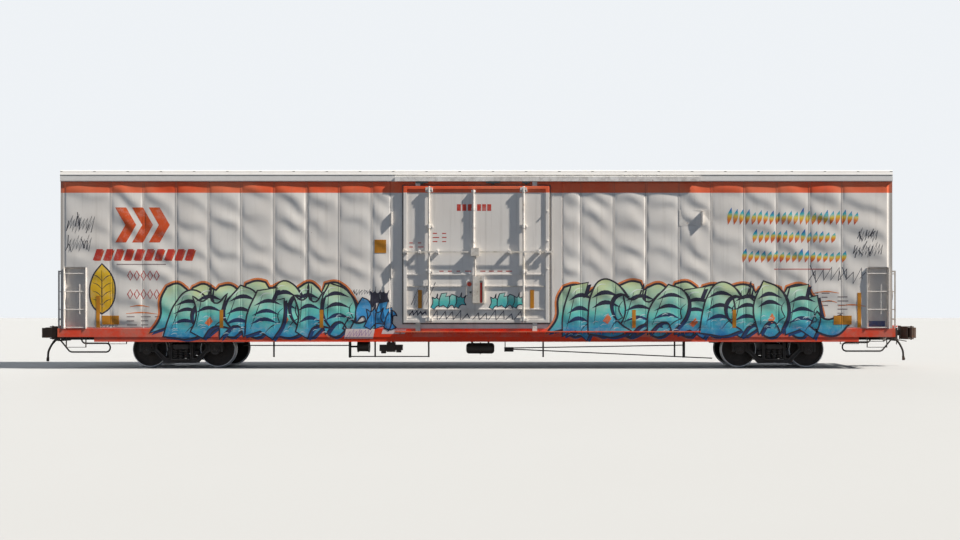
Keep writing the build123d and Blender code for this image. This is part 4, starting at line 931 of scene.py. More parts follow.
class REEFER_OT_body_paint(Operator):
    """Paint on the body, the roof, the sills, the door and the fittings that the frame brings"""

    bl_idname = "reefer.body_paint"
    bl_label = "Body paint"

    def execute(self, context):
        body = context.scene.reefer_body
        side_white = side_paint("side_white", body)
        wear(side_white, "side_wall_right", "side_wall_left", "corner_posts", "door_posts")
        wear(side_paint("door_white", body, 1.6), "plug_door_right", "plug_door_left")
        # The end walls carry more dirt, and are darker also as painted shade against the sun on the end.
        wear(side_paint("end_white_dimmed", body, 3.2), "end_wall_a", "end_wall_b")
        wear(sill_finish("sill_two_tone", body), "side_sills")
        wear(track_finish("door_tracks_worn", body), "door_tracks")
        wear(gear_finish("door_gear_cream_right", body, 1), "door_gear_right")
        wear(gear_finish("door_gear_cream_left", body, -1), "door_gear_left")

        # Name, colour, worn colour, amounts of fading, dirt and rust, roughness, grain, depth and nodes
        bare_zinc, end_white_dimmed = (0.50, 0.50, 0.485, 1.0), (0.50, 0.48, 0.45, 1.0)
        paints = (
            # The roof sheets are dimmed below their real white as painted shade against the sun, under their
            # weathering.
            ("roof_galvanized_dimmed", body.roof, bare_zinc, (0.5, 0.22, 0.1), 0.42, 24.0, 0.002, ["roof"]),
            ("trim_white", body.trim, body.faded, (0.25, 0.07, 0.06), 0.4, 40.0, 0.001, ["top_rails"]),
            (
                "sill_orange", body.sill, body.band_faded, (0.6, 0.34, 0.42), 0.5, 30.0, 0.002,
                ["end_sills", "end_platforms"],
            ),
            (
                "fittings_white", body.faded, body.white, (0.6, 0.3, 0.4), 0.5, 60.0, 0.001,
                ["corner_ladders", "door_stops"],
            ),
            # The end ladders and the hand brake get a dark white: dirt, and painted shade against the sun on
            # the end.
            (
                "end_fittings_white", end_white_dimmed, body.faded, (0.2, 0.4, 0.4), 0.5, 60.0, 0.001,
                ["end_ladders", "hand_brake"],
            ),
        )
        for *look, wearers in paints:
            wear(aged_paint(body, *look), *wearers)
        return {"FINISHED"}


class REEFER_OT_running_gear_finish(Operator):
    """Old black paint, dust, rust and worn steel on the underframe, the trucks and the couplers"""

    bl_idname = "reefer.running_gear_finish"
    bl_label = "Running gear finish"

    def execute(self, context):
        gear = context.scene.reefer_gear
        black, casting, dust, rust = gear.underframe, gear.castings, gear.dust, context.scene.reefer_body.rust
        underframe = worn_paint("underframe_black", black, casting, dust, rust, (0.5, 0.55, 0.4), 0.7, 40.0)
        castings = worn_paint(
            "truck_castings", casting, black, dust, rust, (0.6, 0.7, 0.25), 0.68, 70.0, 0.003
        )
        iron = worn_paint(
            "coupler_iron", gear.coupler, casting, dust, rust, (0.6, 0.4, 0.6), 0.74, 55.0, 0.004,
            metallic=0.15,
        )
        air_gear = worn_paint("air_brake_black", black, dust, dust, rust, (0.7, 0.6, 0.2), 0.6, 60.0, 0.001)
        wear(underframe, "centre_sill", "strikers", "cushion_units", "body_bolsters", "cross_bearers")
        wear(underframe, "jacking_pads", "floor", "uncoupling_levers", "brake_rods", "angle_cocks")
        wear(underframe, "brake_pipe", "sill_steps")
        wear(air_gear, "brake_cylinder", "control_valve", "air_reservoir")
        for end in "ab":
            for name in ("truck_bolster_", "side_frames_", "springs_", "brake_beams_", "bearings_"):
                wear(castings, name + end)
            wear(iron, "coupler_" + end, "knuckle_" + end, "hose_coupling_" + end)
        for number in range(1, 5):
            name = f"wheelset_{number}"
            wear(wheel_finish(f"wheel_steel_{number}", gear, middle_of(name)), name)
        return {"FINISHED"}


class REEFER_OT_side_sheets(Operator):
    """Dented sheets of both sides, with the lap strip over each seam"""

    bl_idname = "reefer.side_sheets"
    bl_label = "Side sheets"

    def execute(self, context):
        sizes = context.scene.reefer_sides
        paint = bpy.data.materials["side_white"]
        for name, start, end in (("left", -CORNER_EDGE, -POST_EDGE), ("right", POST_EDGE, CORNER_EDGE)):
            near = side_sheet(sizes, start, end)
            new_piece(f"side_sheets_{name}", both_sides(near), paint, smooth=True)
        laps = bmesh.new()
        half, face = sizes.lap_width / 2, SIDE_FACE + 0.0004 + sizes.lap_proud
        for x in [side * seam for seam in seams for side in (-1, 1)]:
            low = (x - half, -face, SIDE_FOOT + 0.004)
            high = (x + half, -SIDE_FACE + 0.001, SIDE_TOP - 0.003)
            block(laps, low, high, 0.0012)
        new_piece("seam_laps", both_sides(laps), paint)
        return {"FINISHED"}


class REEFER_OT_sprayed_pieces(Operator):
    """Large sprayed pieces along the near side: bulging shapes with bands of waves, which form no letters"""

    bl_idname = "reefer.sprayed_pieces"
    bl_label = "Sprayed pieces"

    def finishes(self, spray):
        """The five coats, with their colours from the foot up."""
        ink, glow, mist = spray.ink, spray.glow, (0.05, 0.06, 0.12, 1)
        glows = [(0.0, (0.62, 0.12, 0.06)), (0.5, glow), (1.0, glow)]
        drops = [(0.0, (0.012, 0.05, 0.17)), (0.55, ink), (1.0, ink)]
        fills = [
            (0.0, spray.deep), (0.18, spray.blue), (0.42, spray.teal), (0.68, (0.42, 0.66, 0.50)),
            (0.95, spray.lime),
        ]
        shines = [(0.0, (0.36, 0.60, 0.74)), (1.0, (0.80, 0.86, 0.74))]
        lines = [(0.0, ink), (1.0, (0.02, 0.017, 0.02))]
        return {
            "glow": gradient_paint("spray_glow", 0.7, 2.4, glows),
            "drop": gradient_paint("spray_drop", 0.7, 2.4, drops, mist),
            "fill": gradient_paint("spray_fill", 0.75, 2.35, fills),
            "shine": gradient_paint("spray_shine", 0.7, 2.4, shines),
            "line": gradient_paint("spray_line", 0.7, 2.4, lines, (0.06, 0.06, 0.08, 1)),
        }

    def motif(self, coats, number, motif, place, base, chance):
        """One bulging shape with its waves, veins and dabs of light."""
        outline = placed(motif, *place)
        coats.fill("drop", shifted(outline, 0.08, -0.05), base)
        coats.fill("fill", outline, base + 1)
        has_window = number % 3 == 1
        for wave in (0.47, 0.67) if has_window else (0.24, 0.45, 0.66):
            rise = wave + chance.uniform(-0.03, 0.03)
            crescent = ((0.12, rise, 1), (0.46, rise + 0.15), (0.86, rise + 0.02, 1), (0.48, rise + 0.07))
            coats.fill("drop", placed(crescent, *place), base + 2)
        if has_window:
            window = ((0.38, 0.24, 1), (0.52, 0.38, 1), (0.60, 0.28, 1), (0.50, 0.18, 1))
            coats.fill("glow", placed(window, *place), base + 2)
        vein = ((0.16, 0.16), (0.22, 0.44), (0.30, 0.86))
        coats.stroke("line", placed(vein, *place), 0.024, base + 2)
        barb = ((0.56, 0.08), (0.70, 0.22), (0.88, 0.30, 1), (0.80, 0.48), (0.90, 0.60, 1))
        coats.stroke("line", placed(barb, *place), 0.026, base + 2)
        for dab in range(6):
            across, up = chance.uniform(0.12, 0.85), chance.uniform(0.02, 0.40)
            streak = ((across, up), (across + 0.07, up + 0.03), (across + 0.15, up + 0.02))
            coats.stroke("shine", placed(streak, *place), 0.022, base + 4)
        crown = ((0.20, 0.80), (0.34, 0.90), (0.50, 0.91))
        coats.stroke("shine", placed(crown, *place), 0.03, base + 4)
        coats.outline("line", outline, 0.042, base + 3)

    def execute(self, context):
        coats = Coats(context.scene.reefer_sides, self.finishes(context.scene.reefer_spray))
        chance = random.Random(11)
        for left, right, count in ((-8.05, -3.30, 7), (2.15, 8.60, 9)):
            mass = blob(left, right, 0.80, 2.24, count, chance)
            coats.outline("glow", mass, 0.15, 0)
            coats.fill("drop", shifted(mass, 0.05, -0.05), 1)
            coats.fill("fill", mass, 2)
            coats.outline("line", mass, 0.055, 3)
            pitch = (right - left) / count
            for number in range(count):
                motif = MOTIFS[(number * 3 + (left > 0)) % len(MOTIFS)]
                width = pitch * chance.uniform(1.2, 1.5)
                height = chance.uniform(1.20, 1.42)
                foot = chance.uniform(0.80, 0.94)
                lean = chance.uniform(-0.16, 0.30)
                place = (left + pitch * number, foot, width, height, lean)
                self.motif(coats, number, motif, place, 4 + 5 * (number % 2), chance)
        for left, foot, width, height in ((8.55, 0.86, 1.0, 0.80), (-3.45, 0.86, 0.85, 0.62)):
            outline = placed(TAIL, left, foot, width, height, 0.05)
            coats.fill("fill", outline, 5)
            coats.outline("line", outline, 0.05, 7)
        streaks = (
            (8.7, 1.96, 0.62), (8.85, 1.72, 0.42), (9.3, 1.62, 0.7), (-9.0, 1.42, 0.8), (-8.9, 1.6, 0.5),
        )
        for x, z, run in streaks:
            coats.stroke("glow", ((x, z), (x + run / 2, z + 0.03), (x + run, z - 0.01)), 0.035, 0)
        coats.finish_pieces("sprayed")
        return {"FINISHED"}


class REEFER_OT_plain_marks(Operator):
    """Plain chevrons, petals, a leaf and dashes where such a car carries its lettering, and quick zigzags"""

    bl_idname = "reefer.plain_marks"
    bl_label = "Plain marks"

    # Foot, head, left end, right end and number of petals of each rainbow row
    petal_rows = ((3.70, 4.15, 6.40, 9.80, 22), (3.23, 3.60, 7.05, 9.22, 14), (2.73, 3.10, 6.78, 9.50, 17))

    # Left end, right end, foot, head, turns and width of each zigzag on the side and on the door
    side_tags = (
        (-10.58, -9.92, 3.46, 3.98, 17, 0.056),
        (-10.58, -9.98, 2.98, 3.48, 15, 0.052),
        (9.76, 10.24, 3.26, 3.62, 15, 0.056),
        (9.64, 10.36, 2.84, 3.26, 19, 0.056),
        (8.50, 9.86, 2.18, 2.62, 15, 0.044),
        (-3.42, -2.76, 1.88, 2.06, 21, 0.026),
        (-9.72, -9.24, 1.05, 1.20, 12, 0.016),
    )
    door_tags = (
        (-1.74, -1.32, 1.45, 2.25, 12, 0.05),
        (-1.74, -1.30, 1.36, 1.50, 9, 0.06),
        (-1.20, -0.20, 1.21, 1.52, 11, 0.042),
        (-0.15, 1.15, 1.20, 1.52, 13, 0.042),
    )

    def finishes(self, spray):
        """The coats, with their colours from the foot up."""
        rainbow = [
            (0.0, (0.50, 0.03, 0.03)), (0.28, (0.70, 0.20, 0.03)), (0.46, (0.68, 0.55, 0.06)),
            (0.62, (0.05, 0.46, 0.50)), (0.85, (0.02, 0.13, 0.45)),
        ]
        teal = [(0.0, (0.03, 0.24, 0.42)), (0.5, (0.10, 0.55, 0.50)), (1.0, (0.62, 0.80, 0.70))]
        navy = [(0.0, (0.03, 0.22, 0.55)), (0.5, (0.06, 0.34, 0.66)), (1.0, (0.02, 0.02, 0.07))]
        black = [(0.0, spray.ink), (1.0, (0.02, 0.018, 0.025))]
        violet = [(0.0, (0.14, 0.05, 0.30)), (1.0, (0.32, 0.09, 0.38))]
        # Name, foot and head of the change of colour, and its colours
        looks = {
            "orange": ("mark_orange", 3.2, 4.2, [(0.0, spray.orange), (1.0, (0.66, 0.10, 0.02))]),
            "red": ("mark_red", 1.0, 4.3, [(0.0, spray.red), (1.0, (0.54, 0.05, 0.03))]),
            "grey": ("mark_grey", 1.0, 3.0, [(0.0, (0.20, 0.15, 0.15)), (1.0, (0.26, 0.21, 0.21))]),
            "ink": ("scribble_ink", 1.0, 4.0, black, (0.10, 0.10, 0.11, 1)),
            "yellow": ("leaf_yellow", 1.3, 2.8, [(0.0, spray.yellow), (1.0, (0.80, 0.52, 0.03))]),
            "teal": ("door_teal", 1.4, 2.05, teal),
            "navy": ("tangle_navy", 1.0, 2.2, navy),
            "pale": ("pale_patch", 0.7, 1.1, [(0.0, (0.62, 0.40, 0.42)), (1.0, (0.80, 0.70, 0.68))]),
            "violet": ("scribble_violet", 0.7, 1.1, violet),
        }
        made = {name: gradient_paint(*look) for name, look in looks.items()}
        for number, (low, high, *_) in enumerate(self.petal_rows):
            made[f"rainbow_{number}"] = gradient_paint(f"rainbow_{number}", low, high, rainbow)
        return made

    def dashes(self, coats, name, left, foot, columns, lines, chance, pitch=0.36, strips=SIDE_STRIPS):
        """Columns of short bars in place of small lettering."""
        for column in range(columns):
            for line in range(lines):
                start = left + pitch * column
                height = foot + 0.105 * line
                end = start + pitch * chance.uniform(0.4, 0.78)
                coats.fill(name, slanted(start, end, height, height + 0.024), 0, strips)

    def chevrons(self, coats):
        """Three chevrons, slanted blocks under them and two rows of small diamonds."""
        foot, middle, head = 3.25, 3.70, 4.15
        for step in range(3):
            left = -9.28 + 0.43 * step
            lower = [(left, foot, 1), (left + 0.28, foot, 1), (left + 0.54, middle, 1)]
            upper = [(left + 0.28, head, 1), (left, head, 1), (left + 0.26, middle, 1)]
            coats.fill("orange", lower + upper, 0)
        for step in range(10):
            left = -9.86 + 0.262 * step
            coats.fill("orange", slanted(left + 0.03, left + 0.20, 2.78, 3.05, 0.10), 0)
            coats.fill("red", slanted(left, left + 0.165, 2.80, 3.08, 0.10), 1)
        coats.fill("grey", slanted(-9.24, -7.98, 2.675, 2.70), 0)
        for foot, head in ((2.28, 2.52), (1.80, 2.04)):
            for step in range(5):
                left, middle = -8.96 + 0.17 * step, (foot + head) / 2
                across = left + 0.065
                tips = [(left, middle, 1), (across, head, 1), (left + 0.13, middle, 1), (across, foot, 1)]
                coats.outline("red", tips, 0.026, 0)

    def petals(self, coats, chance):
        """Rows of rainbow petals, with the first and one near the middle at full height."""
        for number, (low, high, left, right, count) in enumerate(self.petal_rows):
            pitch = (right - left) / count
            for step in range(count):
                full = step in (0, count // 2 + 1)
                tall = high if full else low + chance.uniform(0.72, 0.94) * (high - low)
                petal = placed(PETAL, left + pitch * step, low, 0.88 * pitch, tall - low, 0.08)
                coats.fill(f"rainbow_{number}", petal, step % 2)

    def leaf(self, coats):
        """A plain leaf by the left ladder."""
        spread = (-9.95, 1.46, 0.66, 1.22, 0.02)
        coats.fill("yellow", placed(LEAF, *spread), 1)
        coats.outline("ink", placed(LEAF, *spread), 0.036, 2)
        coats.stroke("ink", placed(((0.50, -0.12), (0.48, 0.40), (0.46, 0.88)), *spread), 0.028, 2)
        for rib in range(4):
            rise = 0.14 + 0.17 * rib
            for tip in (0.12, 0.86):
                vein = ((0.48, rise), ((0.48 + tip) / 2, rise + 0.10), (tip, rise + 0.14))
                coats.stroke("ink", placed(vein, *spread), 0.02, 2)

    def tags(self, coats, chance):
        """Zigzags with slashes through them, and a tangle of small shapes left of the door."""
        for left, right, foot, head, turns, width in self.side_tags:
            coats.stroke("ink", scribble(left, right, foot, head, turns, chance), width, 0)
            for slash in range(turns // 3):
                x, z = chance.uniform(left, right), chance.uniform(foot, (foot + head) / 2)
                end = (x + chance.uniform(-0.12, 0.2), z + chance.uniform(0.3, 0.7) * (head - foot), 1)
                coats.stroke("ink", ((x, z, 1), end), width, 1)
        tangle = (
            (FLAME, -2.90, 1.06, 0.50, 0.60),
            (SHARD, -2.62, 1.02, 0.46, 0.70),
            (PEBBLE, -3.12, 1.22, 0.40, 0.62),
            (CREST, -2.38, 1.04, 0.30, 0.46),
        )
        for motif, left, foot, width, height in tangle:
            outline = placed(motif, left, foot, width, height, 0.05)
            coats.fill("navy", outline, 14)
            coats.outline("ink", outline, 0.03, 15)
        for left, foot, width, height in ((-2.78, 1.62, 0.34, 0.50), (-2.52, 1.66, 0.28, 0.44)):
            coats.fill("ink", placed(FLAME, left, foot, width, height, 0.02), 13)
        for left, right, turns in ((-3.34, -3.02, 9), (-3.06, -2.74, 8)):
            coats.stroke("violet", scribble(left, right, 0.80, 1.02, turns, chance), 0.030, 14)
        patches = ((-8.08, -7.78, 0.85, 1.02), (-7.48, -7.20, 0.85, 1.02), (-2.44, -1.84, 0.90, 1.02))
        for left, right, foot, head in patches:
            coats.fill("pale", slanted(left, right, foot, head, 0.04), 0)

    def door_marks(self, coats, chance):
        """Small sprayed shapes and zigzags low on the door, red blocks and dashes higher up."""
        for left, right in ((-1.18, -0.36), (0.32, 1.12)):
            for step, motif in enumerate((FLAME, SHARD, PEBBLE, FLAME)):
                odd = step % 2
                outline = placed(motif, left + (right - left) / 4 * step, 1.56 + 0.03 * odd, 0.28, 0.36, 0.04)
                coats.fill("teal", outline, 2 * odd, DOOR_LOWER)
                coats.outline("ink", outline, 0.024, 2 * odd + 1, DOOR_LOWER)
        for left, right, foot, head, turns, width in self.door_tags:
            coats.stroke("ink", scribble(left, right, foot, head, turns, chance), width, 6, DOOR_LOWER)
        for left in (-0.50, -0.36, -0.22, 0.02, 0.15, 0.28):
            coats.fill("red", slanted(left, left + 0.10, 4.06, 4.23), 0, DOOR_UPPER)
        for left, foot, columns, lines, pitch in (
            (-1.12, 3.26, 2, 3, 0.24),
            (-0.95, 2.50, 4, 1, 0.22),
            (0.10, 2.50, 4, 1, 0.22),
            (-1.72, 3.12, 2, 2, 0.22),
        ):
            self.dashes(coats, "red", left, foot, columns, lines, chance, pitch, DOOR_UPPER)

    def execute(self, context):
        coats = Coats(context.scene.reefer_sides, self.finishes(context.scene.reefer_spray))
        chance = random.Random(23)
        self.chevrons(coats)
        self.petals(coats, chance)
        self.dashes(coats, "grey", -8.98, 1.12, 3, 3, chance)
        self.dashes(coats, "grey", 8.15, 1.62, 3, 4, chance)
        self.dashes(coats, "grey", 9.28, 1.42, 1, 5, chance)
        coats.fill("red", slanted(7.65, 9.1, 2.555, 2.575), 0)
        self.leaf(coats)
        self.tags(coats, chance)
        self.door_marks(coats, chance)
        coats.fill("pale", slanted(-3.40, -2.66, 0.78, 1.03, 0.05), 13)
        coats.finish_pieces("marks")
        return {"FINISHED"}


class REEFER_OT_reflectors(Operator):
    """Yellow reflectors and plates on the near side and its door, and a blank placard in the right well"""

    bl_idname = "reefer.reflectors"
    bl_label = "Reflectors"

    def yellow(self, reflector):
        """Dusty yellow with the fine cells of a reflector."""
        dust, shaded = (0.28, 0.13, 0.02, 1.0), (0.30, 0.12, 0.01, 1.0)
        finish = Finish("reflector_yellow", 0.35)
        dusty = finish.patches(5.0, 8.0, 0.7, 0.35, 0.7, 0.0, 0.75)
        cells = finish.node("ShaderNodeTexVoronoi", {"Vector": finish.place, "Scale": 160.0})
        prisms = cells.outputs["Distance"]
        tone = finish.blend(dusty, reflector, dust)
        tone = finish.blend(finish.levels(prisms, 0.0, 0.8, 0.0, 0.35), tone, shaded)
        return finish.done(tone, finish.levels(dusty, 0.0, 0.75, 0.3, 0.62), prisms, 0.0006, 0.4)

    def execute(self, context):
        yellow = self.yellow(context.scene.reefer_spray.reflector)
        surface = SideSurface(context.scene.reefer_sides)
        foot, width, layer, thickness = 1.06, 0.095, 16, 0.004
        upright = ((-9.77, 0.82), (-6.60, 0.46), (-4.03, 0.46), (4.00, 0.46), (6.58, 0.46), (9.79, 0.90))
        places = [(left, left + width, foot, foot + height) for left, height in upright]
        places += [(-9.62, -9.18, 1.14, 1.37), (9.18, 9.64, 1.14, 1.37), (-2.62, -2.32, 2.98, 3.32)]
        plates = bmesh.new()
        for place in places:
            added(plates, draped(flat_shape(slanted(*place)), layer, surface))
        bmesh.ops.remove_doubles(plates, verts=plates.verts, dist=0.0002)
        bmesh.ops.solidify(plates, geom=plates.faces, thickness=thickness)
        new_piece("yellow_reflectors", plates, yellow)

        on_door = bmesh.new()
        for left in (-1.50, 1.38):
            block(on_door, (left, -1.567, 1.56), (left + 0.10, -1.5615, 2.03), 0.0012)
        new_piece("door_reflectors", on_door, yellow)

        placard = bmesh.new()
        block(placard, (10.115, -1.436, 1.077), (10.526, -1.4295, 1.231), 0.0015)
        navy, faded_navy = (0.022, 0.050, 0.16, 1.0), (0.05, 0.075, 0.17, 1.0)
        blue = aged_paint(
            context.scene.reefer_body, "placard_blue", navy, faded_navy, (0.5, 0.4, 0.1), 0.5, 60.0, 0.001
        )
        new_piece("well_placard", placard, blue)
        return {"FINISHED"}


class REEFER_OT_eave_trim(Operator):
    """Rounded white mouldings along the eaves"""

    bl_idname = "reefer.eave_trim"
    bl_label = "Eave trim"

    def execute(self, context):
        trim = bmesh.new()
        drip = (
            (1.520, 5.108), (1.543, 5.103), (1.552, 5.088), (1.576, 4.994), (1.576, 4.980), (1.568, 4.972),
            (1.535, 4.972),
        )
        cover = (
            (1.535, 4.956), (1.564, 4.956), (1.571, 4.949), (1.571, 4.833), (1.564, 4.826), (1.535, 4.826),
        )
        end = BODY_END - 0.001
        for outline in (drip, cover):
            section = trim.faces.new([trim.verts.new((-end, -out, height)) for out, height in outline])
            swept = bmesh.ops.extrude_face_region(trim, geom=[section])["geom"]
            moved = [item for item in swept if isinstance(item, bmesh.types.BMVert)]
            bmesh.ops.translate(trim, verts=moved, vec=(2 * end, 0, 0))
        bmesh.ops.recalc_face_normals(trim, faces=trim.faces)
        new_piece("eave_mouldings", both_sides(trim), bpy.data.materials["trim_white"])
        return {"FINISHED"}


class REEFER_OT_door_seals(Operator):
    """Black rubber seals round both doors"""

    bl_idname = "reefer.door_seals"
    bl_label = "Door seals"

    def execute(self, context):
        seals = bmesh.new()
        edge, back, face, rounding = DOOR_EDGE + 0.001, 1.5295, 1.556, 0.008
        for side in (-1, 1):
            low, high = sorted((side * edge, side * (edge + 0.028)))
            block(seals, (low, -face, DOOR_FOOT - 0.03), (high, -back, DOOR_TOP + 0.03), rounding)
        for low, high in ((DOOR_FOOT - 0.030, DOOR_FOOT - 0.002), (DOOR_TOP + 0.002, DOOR_TOP + 0.030)):
            block(seals, (-edge, -face, low), (edge, -back, high), rounding)
        black, greyed, cracks = (0.03, 0.03, 0.032, 1.0), (0.06, 0.058, 0.055, 1.0), (0.12, 0.10, 0.08, 1.0)
        grime_and_shade = context.scene.reefer_body.grime_and_shade
        rubber = worn_paint("seal_rubber", black, greyed, grime_and_shade, cracks, (0.6, 0.4, 0.1), 0.7, 90.0, 0.001)
        new_piece("door_seals", both_sides(seals), rubber)
        return {"FINISHED"}


class REEFER_OT_door_fittings(Operator):
    """Edge strips, pipe guides, brackets, knobs and gussets on both doors and their tracks"""

    bl_idname = "reefer.door_fittings"
    bl_label = "Door fittings"

    def edging(self):
        """Flat strips round the door."""
        shape = bmesh.new()
        edge, foot, head, face = DOOR_EDGE - 0.009, 1.190, 4.690, 1.600
        for low, high in ((-edge, -1.780), (1.780, edge)):
            block(shape, (low, -face, foot), (high, -RIM_FACE, head), 0.004)
        for low, high in ((foot, 1.262), (4.618, head)):
            block(shape, (-1.779, -face, low), (1.779, -RIM_FACE, high), 0.004)
        return shape

    def guides(self):
        """Guides of the locking pipes, the short pipe at the middle, and brackets of the operating bar."""
        shape = bmesh.new()
        for x in (-1.212, 1.212):
            for z in (1.29, 2.50, 3.66, 4.58):
                back = RIM_FACE + 0.001 if z < 1.3154 else PANEL_FACE
                block(shape, (x - 0.095, -1.602, z - 0.034), (x + 0.095, -back, z + 0.034), 0.003)
                bar(shape, (x, -1.624, z - 0.05), (x, -1.624, z + 0.05), 0.039, 20)
                for out in (-0.07, 0.07):
                    stud(shape, x + out, z, 1.600, 1.614, 0.015, 6)
        pipe, depth = -0.072, 1.610
        bar(shape, (pipe, -depth, 3.10), (pipe, -depth, 4.60), 0.020, 16)
        for z in (3.28, 3.66, 4.10, 4.56):
            block(shape, (pipe - 0.058, -1.602, z - 0.03), (pipe + 0.058, -RIM_FACE, z + 0.03), 0.003)
            bar(shape, (pipe, -depth, z - 0.036), (pipe, -depth, z + 0.036), 0.030, 16)
        for x in (-1.80, -1.46, -0.995, 0.845, 1.60, 1.80):
            block(shape, (x - 0.030, -1.642, 2.952), (x + 0.030, -PANEL_FACE, 3.058), 0.004)
            stud(shape, x, BAR_HEIGHT, 1.640, 1.676, 0.034, 20)
            for up in (-0.038, 0.038):
                stud(shape, x, BAR_HEIGHT + up, 1.640, 1.652, 0.011, 6)
        for z in (2.57, 3.29, 4.05):
            stud(shape, 1.823, z, 1.598, 1.632, 0.026, 20, 0.018)
        return shape

    def hood_brackets(self):
        """Dark brackets of the rollers under the hood."""
        shape = bmesh.new()
        back = SIDE_FACE - 0.001
        for low, high in ((-1.553, -1.244), (0.246, 0.606), (1.171, 1.377)):
            block(shape, (low, -1.604, 4.768), (high, -back, 4.817), 0.003)
            middle = (low + high) / 2
            block(shape, (middle - 0.035, -1.598, 4.742), (middle + 0.035, -back, 4.769), 0.003)
        return shape

    def ledge_gussets(self):
        """Thin gussets under the ledge, narrower at their feet."""
        shape = bmesh.new()
        for place in even_steps(-1.95, 5.60, 0.36):
            block(shape, (place - 0.006, -1.600, 0.900), (place + 0.006, -1.5445, 0.9440))
        for corner in shape.verts:
            if corner.co.z < 0.91 and corner.co.y < -1.59:
                corner.co.y = -1.553
        return shape

    def execute(self, context):
        disc, knobs = bmesh.new(), bmesh.new()
        stud(disc, -0.176, 2.176, PULL_BOX_FACE, 1.631, 0.056, 28)
        stud(knobs, -0.146, 1.968, PULL_BOX_FACE, 1.648, 0.030, 24, 0.022)
        stud(knobs, -0.236, 1.886, PULL_BOX_FACE, 1.632, 0.012, 12)
        red, worn_red = (0.62, 0.045, 0.012, 1.0), (0.50, 0.06, 0.03, 1.0)
        aged_paint(context.scene.reefer_body, "disc_red", red, worn_red, (0.5, 0.3, 0.2), 0.4, 60.0, 0.001)
        # Name, shape, finish and slot
        pieces = (
            ("door_edging", self.edging(), "door_white", "body_white"),
            ("door_guides", self.guides(), "fittings_white", "body_white"),
            ("pull_box_disc", disc, "disc_red", "sill_orange"),
            ("pull_box_knob", knobs, "underframe_black", "underframe_black"),
            ("hood_brackets", self.hood_brackets(), "underframe_black", "underframe_black"),
            ("ledge_gussets", self.ledge_gussets(), "door_tracks_worn", "sill_orange"),
        )
        for name, shape, finish, slot in pieces:
            new_piece(name, both_sides(shape), bpy.data.materials[finish])
        return {"FINISHED"}


class REEFER_OT_springs(Operator):
    """Coil springs of the trucks, one inside the other"""

    bl_idname = "reefer.springs"
    bl_label = "Springs"

    def coil(self, shape, foot, head, radius, wire, turns):
        """Adds a coil round the origin."""
        ring = bmesh.ops.create_circle(
            shape,
            cap_ends=True,
            segments=7,
            radius=wire,
            matrix=Matrix.Translation((radius, 0, foot + wire)) @ UPRIGHT,
        )
        around = list({face for vert in ring["verts"] for face in vert.link_faces})
        steps = round(turns * 14)
        bmesh.ops.spin(
            shape,
            geom=around,
            cent=(0, 0, 0),
            axis=(0, 0, 1),
            dvec=(0, 0, (head - foot - 2 * wire) / steps),
            angle=math.tau * turns,
            steps=steps,
            use_merge=False,
        )

    def execute(self, context):
        steel = bpy.data.materials["truck_castings"]
        foot, head = reach("springs_b", "Z", 0), reach("springs_b", "Z")
        for end, x in (("a", -TRUCK_CENTRE), ("b", TRUCK_CENTRE)):
            unit = bmesh.new()
            self.coil(unit, foot, head, radius=0.0520, wire=0.0135, turns=5.0)
            self.coil(unit, foot, head, radius=0.0290, wire=0.0085, turns=7.0)
            bmesh.ops.recalc_face_normals(unit, faces=unit.faces)
            places = []
            for side in (-1, 1):
                for along in (-0.142, 0.0, 0.142):
                    for out in (-0.071, 0.071):
                        places.append(Matrix.Translation((x + along, side * 1.003 + out, 0)))
            shape = repeated(unit, places)
            coils = new_piece(f"coil_springs_{end}", shape, steel, f"truck_{end}", smooth=True)
            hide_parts(f"springs_{end}")
        return {"FINISHED"}


class REEFER_OT_bearing_bolts(Operator):
    """Bolts and the raised middle of the end cap of every axle"""

    bl_idname = "reefer.bearing_bolts"
    bl_label = "Bearing bolts"

    def execute(self, context):
        iron = bpy.data.materials["truck_castings"]
        cap_face = 1.116
        for number in range(1, 5):
            x = middle_of(f"wheelset_{number}")[0]
            bolts = bmesh.new()
            for side in (-1, 1):
                for step in range(3):
                    turn = math.tau * step / 3 + math.pi / 2
                    along, up = x + 0.055 * math.cos(turn), AXLE_HEIGHT + 0.055 * math.sin(turn)
                    bar(bolts, (along, side * cap_face, up), (along, side * 1.130, up), 0.015, 6)
                start, end = (x, side * cap_face, AXLE_HEIGHT), (x, side * 1.121, AXLE_HEIGHT)
                bar(bolts, start, end, 0.030, 24, 0.024)
            new_piece(f"cap_bolts_{number}", bolts, iron, f"wheelset_{number}")
        return {"FINISHED"}


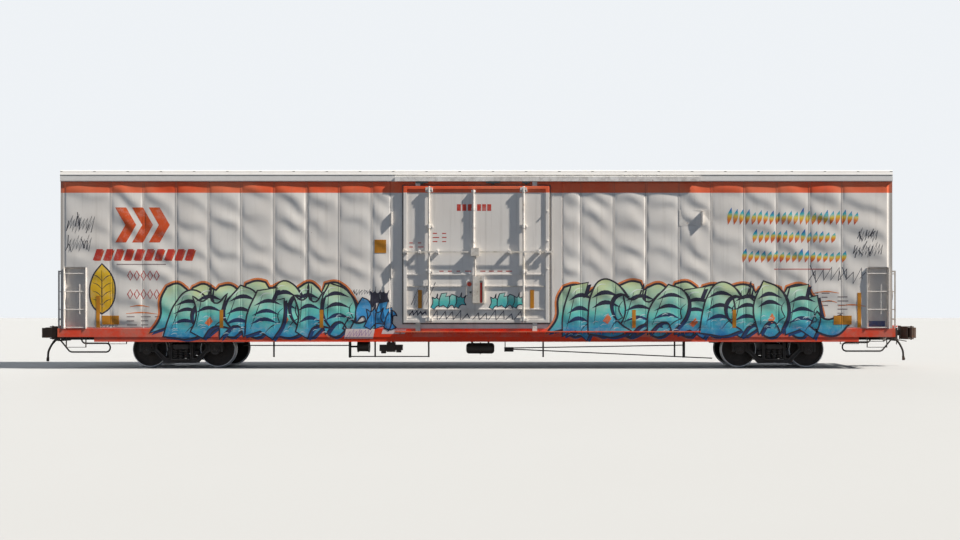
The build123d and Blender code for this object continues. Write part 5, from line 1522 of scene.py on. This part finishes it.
class REEFER_OT_air_hoses(Operator):
    """Air hoses that hang from the angle cocks at both ends"""

    bl_idname = "reefer.air_hoses"
    bl_label = "Air hoses"

    def execute(self, context):
        gear = context.scene.reefer_gear
        greyed, cracks = (0.045, 0.044, 0.043, 1.0), (0.08, 0.06, 0.05, 1.0)
        rubber = worn_paint(
            "hose_rubber", gear.hose, greyed, gear.dust, cracks, (0.6, 0.5, 0.1), 0.62, 150.0, 0.0008
        )
        route = (
            (11.358, 0.35, 0.6434),
            (11.392, 0.35, 0.6024),
            (11.455, 0.35, 0.4854),
            (11.498, 0.35, 0.3754),
            (11.498, 0.35, 0.2554),
        )
        for end, side in (("a", -1), ("b", 1)):
            line = bpy.data.curves.new(f"hanging_hose_{end}", "CURVE")
            line.dimensions = "3D"
            line.bevel_depth = 0.027
            line.bevel_resolution = 5
            line.use_fill_caps = True
            spline = line.splines.new("NURBS")
            spline.points.add(len(route) - 1)
            for point, (x, y, z) in zip(spline.points, route):
                point.co = (side * x, side * y, z, 1.0)
            spline.order_u = 3
            spline.use_endpoint_u = True
            spline.resolution_u = 12
            hose = bpy.data.objects.new(f"hanging_hose_{end}", line)
            bpy.context.scene.collection.objects.link(hose)
            line.materials.append(rubber)
            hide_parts(f"air_hose_{end}")
            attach(hose, "carbody")
            x, y, z = route[0]
        return {"FINISHED"}


class REEFER_PT_pieces(Panel):
    """Buttons for the stage and every group of pieces"""

    bl_label = "Refrigerator car"
    bl_idname = "REEFER_PT_pieces"
    bl_space_type = "VIEW_3D"
    bl_region_type = "UI"
    bl_category = "Reefer"

    def draw(self, context):
        for step in steps:
            self.layout.operator(step.bl_idname)
        for name, (group, _) in groups.items():
            box = self.layout.box()
            settings = getattr(context.scene, name)
            for key in group.__annotations__:
                box.prop(settings, key)


groups = {
    "reefer_body": (BodyColours, "Body colours"),
    "reefer_gear": (RunningGearColours, "Running gear colours"),
    "reefer_sides": (SideSizes, "Side sizes"),
    "reefer_spray": (SprayColours, "Spray colours"),
    "reefer_stage": (StageSettings, "Stage"),
}
steps = (
    REEFER_OT_stage,
    REEFER_OT_body_paint,
    REEFER_OT_running_gear_finish,
    REEFER_OT_side_sheets,
    REEFER_OT_sprayed_pieces,
    REEFER_OT_plain_marks,
    REEFER_OT_reflectors,
    REEFER_OT_eave_trim,
    REEFER_OT_door_seals,
    REEFER_OT_door_fittings,
    REEFER_OT_springs,
    REEFER_OT_bearing_bolts,
    REEFER_OT_air_hoses,
)


def register():
    for name, (group, label) in groups.items():
        bpy.utils.register_class(group)
        setattr(bpy.types.Scene, name, PointerProperty(type=group, name=label))
    for step in steps:
        bpy.utils.register_class(step)
    bpy.utils.register_class(REEFER_PT_pieces)


def unregister():
    bpy.utils.unregister_class(REEFER_PT_pieces)
    for step in reversed(steps):
        bpy.utils.unregister_class(step)
    for name, (group, _) in reversed(groups.items()):
        delattr(bpy.types.Scene, name)
        bpy.utils.unregister_class(group)


def main():
    register()
    bpy.ops.reefer.stage()
    bpy.ops.reefer.body_paint()
    bpy.ops.reefer.running_gear_finish()
    bpy.ops.reefer.side_sheets()
    bpy.ops.reefer.sprayed_pieces()
    bpy.ops.reefer.plain_marks()
    bpy.ops.reefer.reflectors()
    bpy.ops.reefer.eave_trim()
    bpy.ops.reefer.door_seals()
    bpy.ops.reefer.door_fittings()
    bpy.ops.reefer.springs()
    bpy.ops.reefer.bearing_bolts()
    bpy.ops.reefer.air_hoses()


if __name__ == "__main__":
    main()
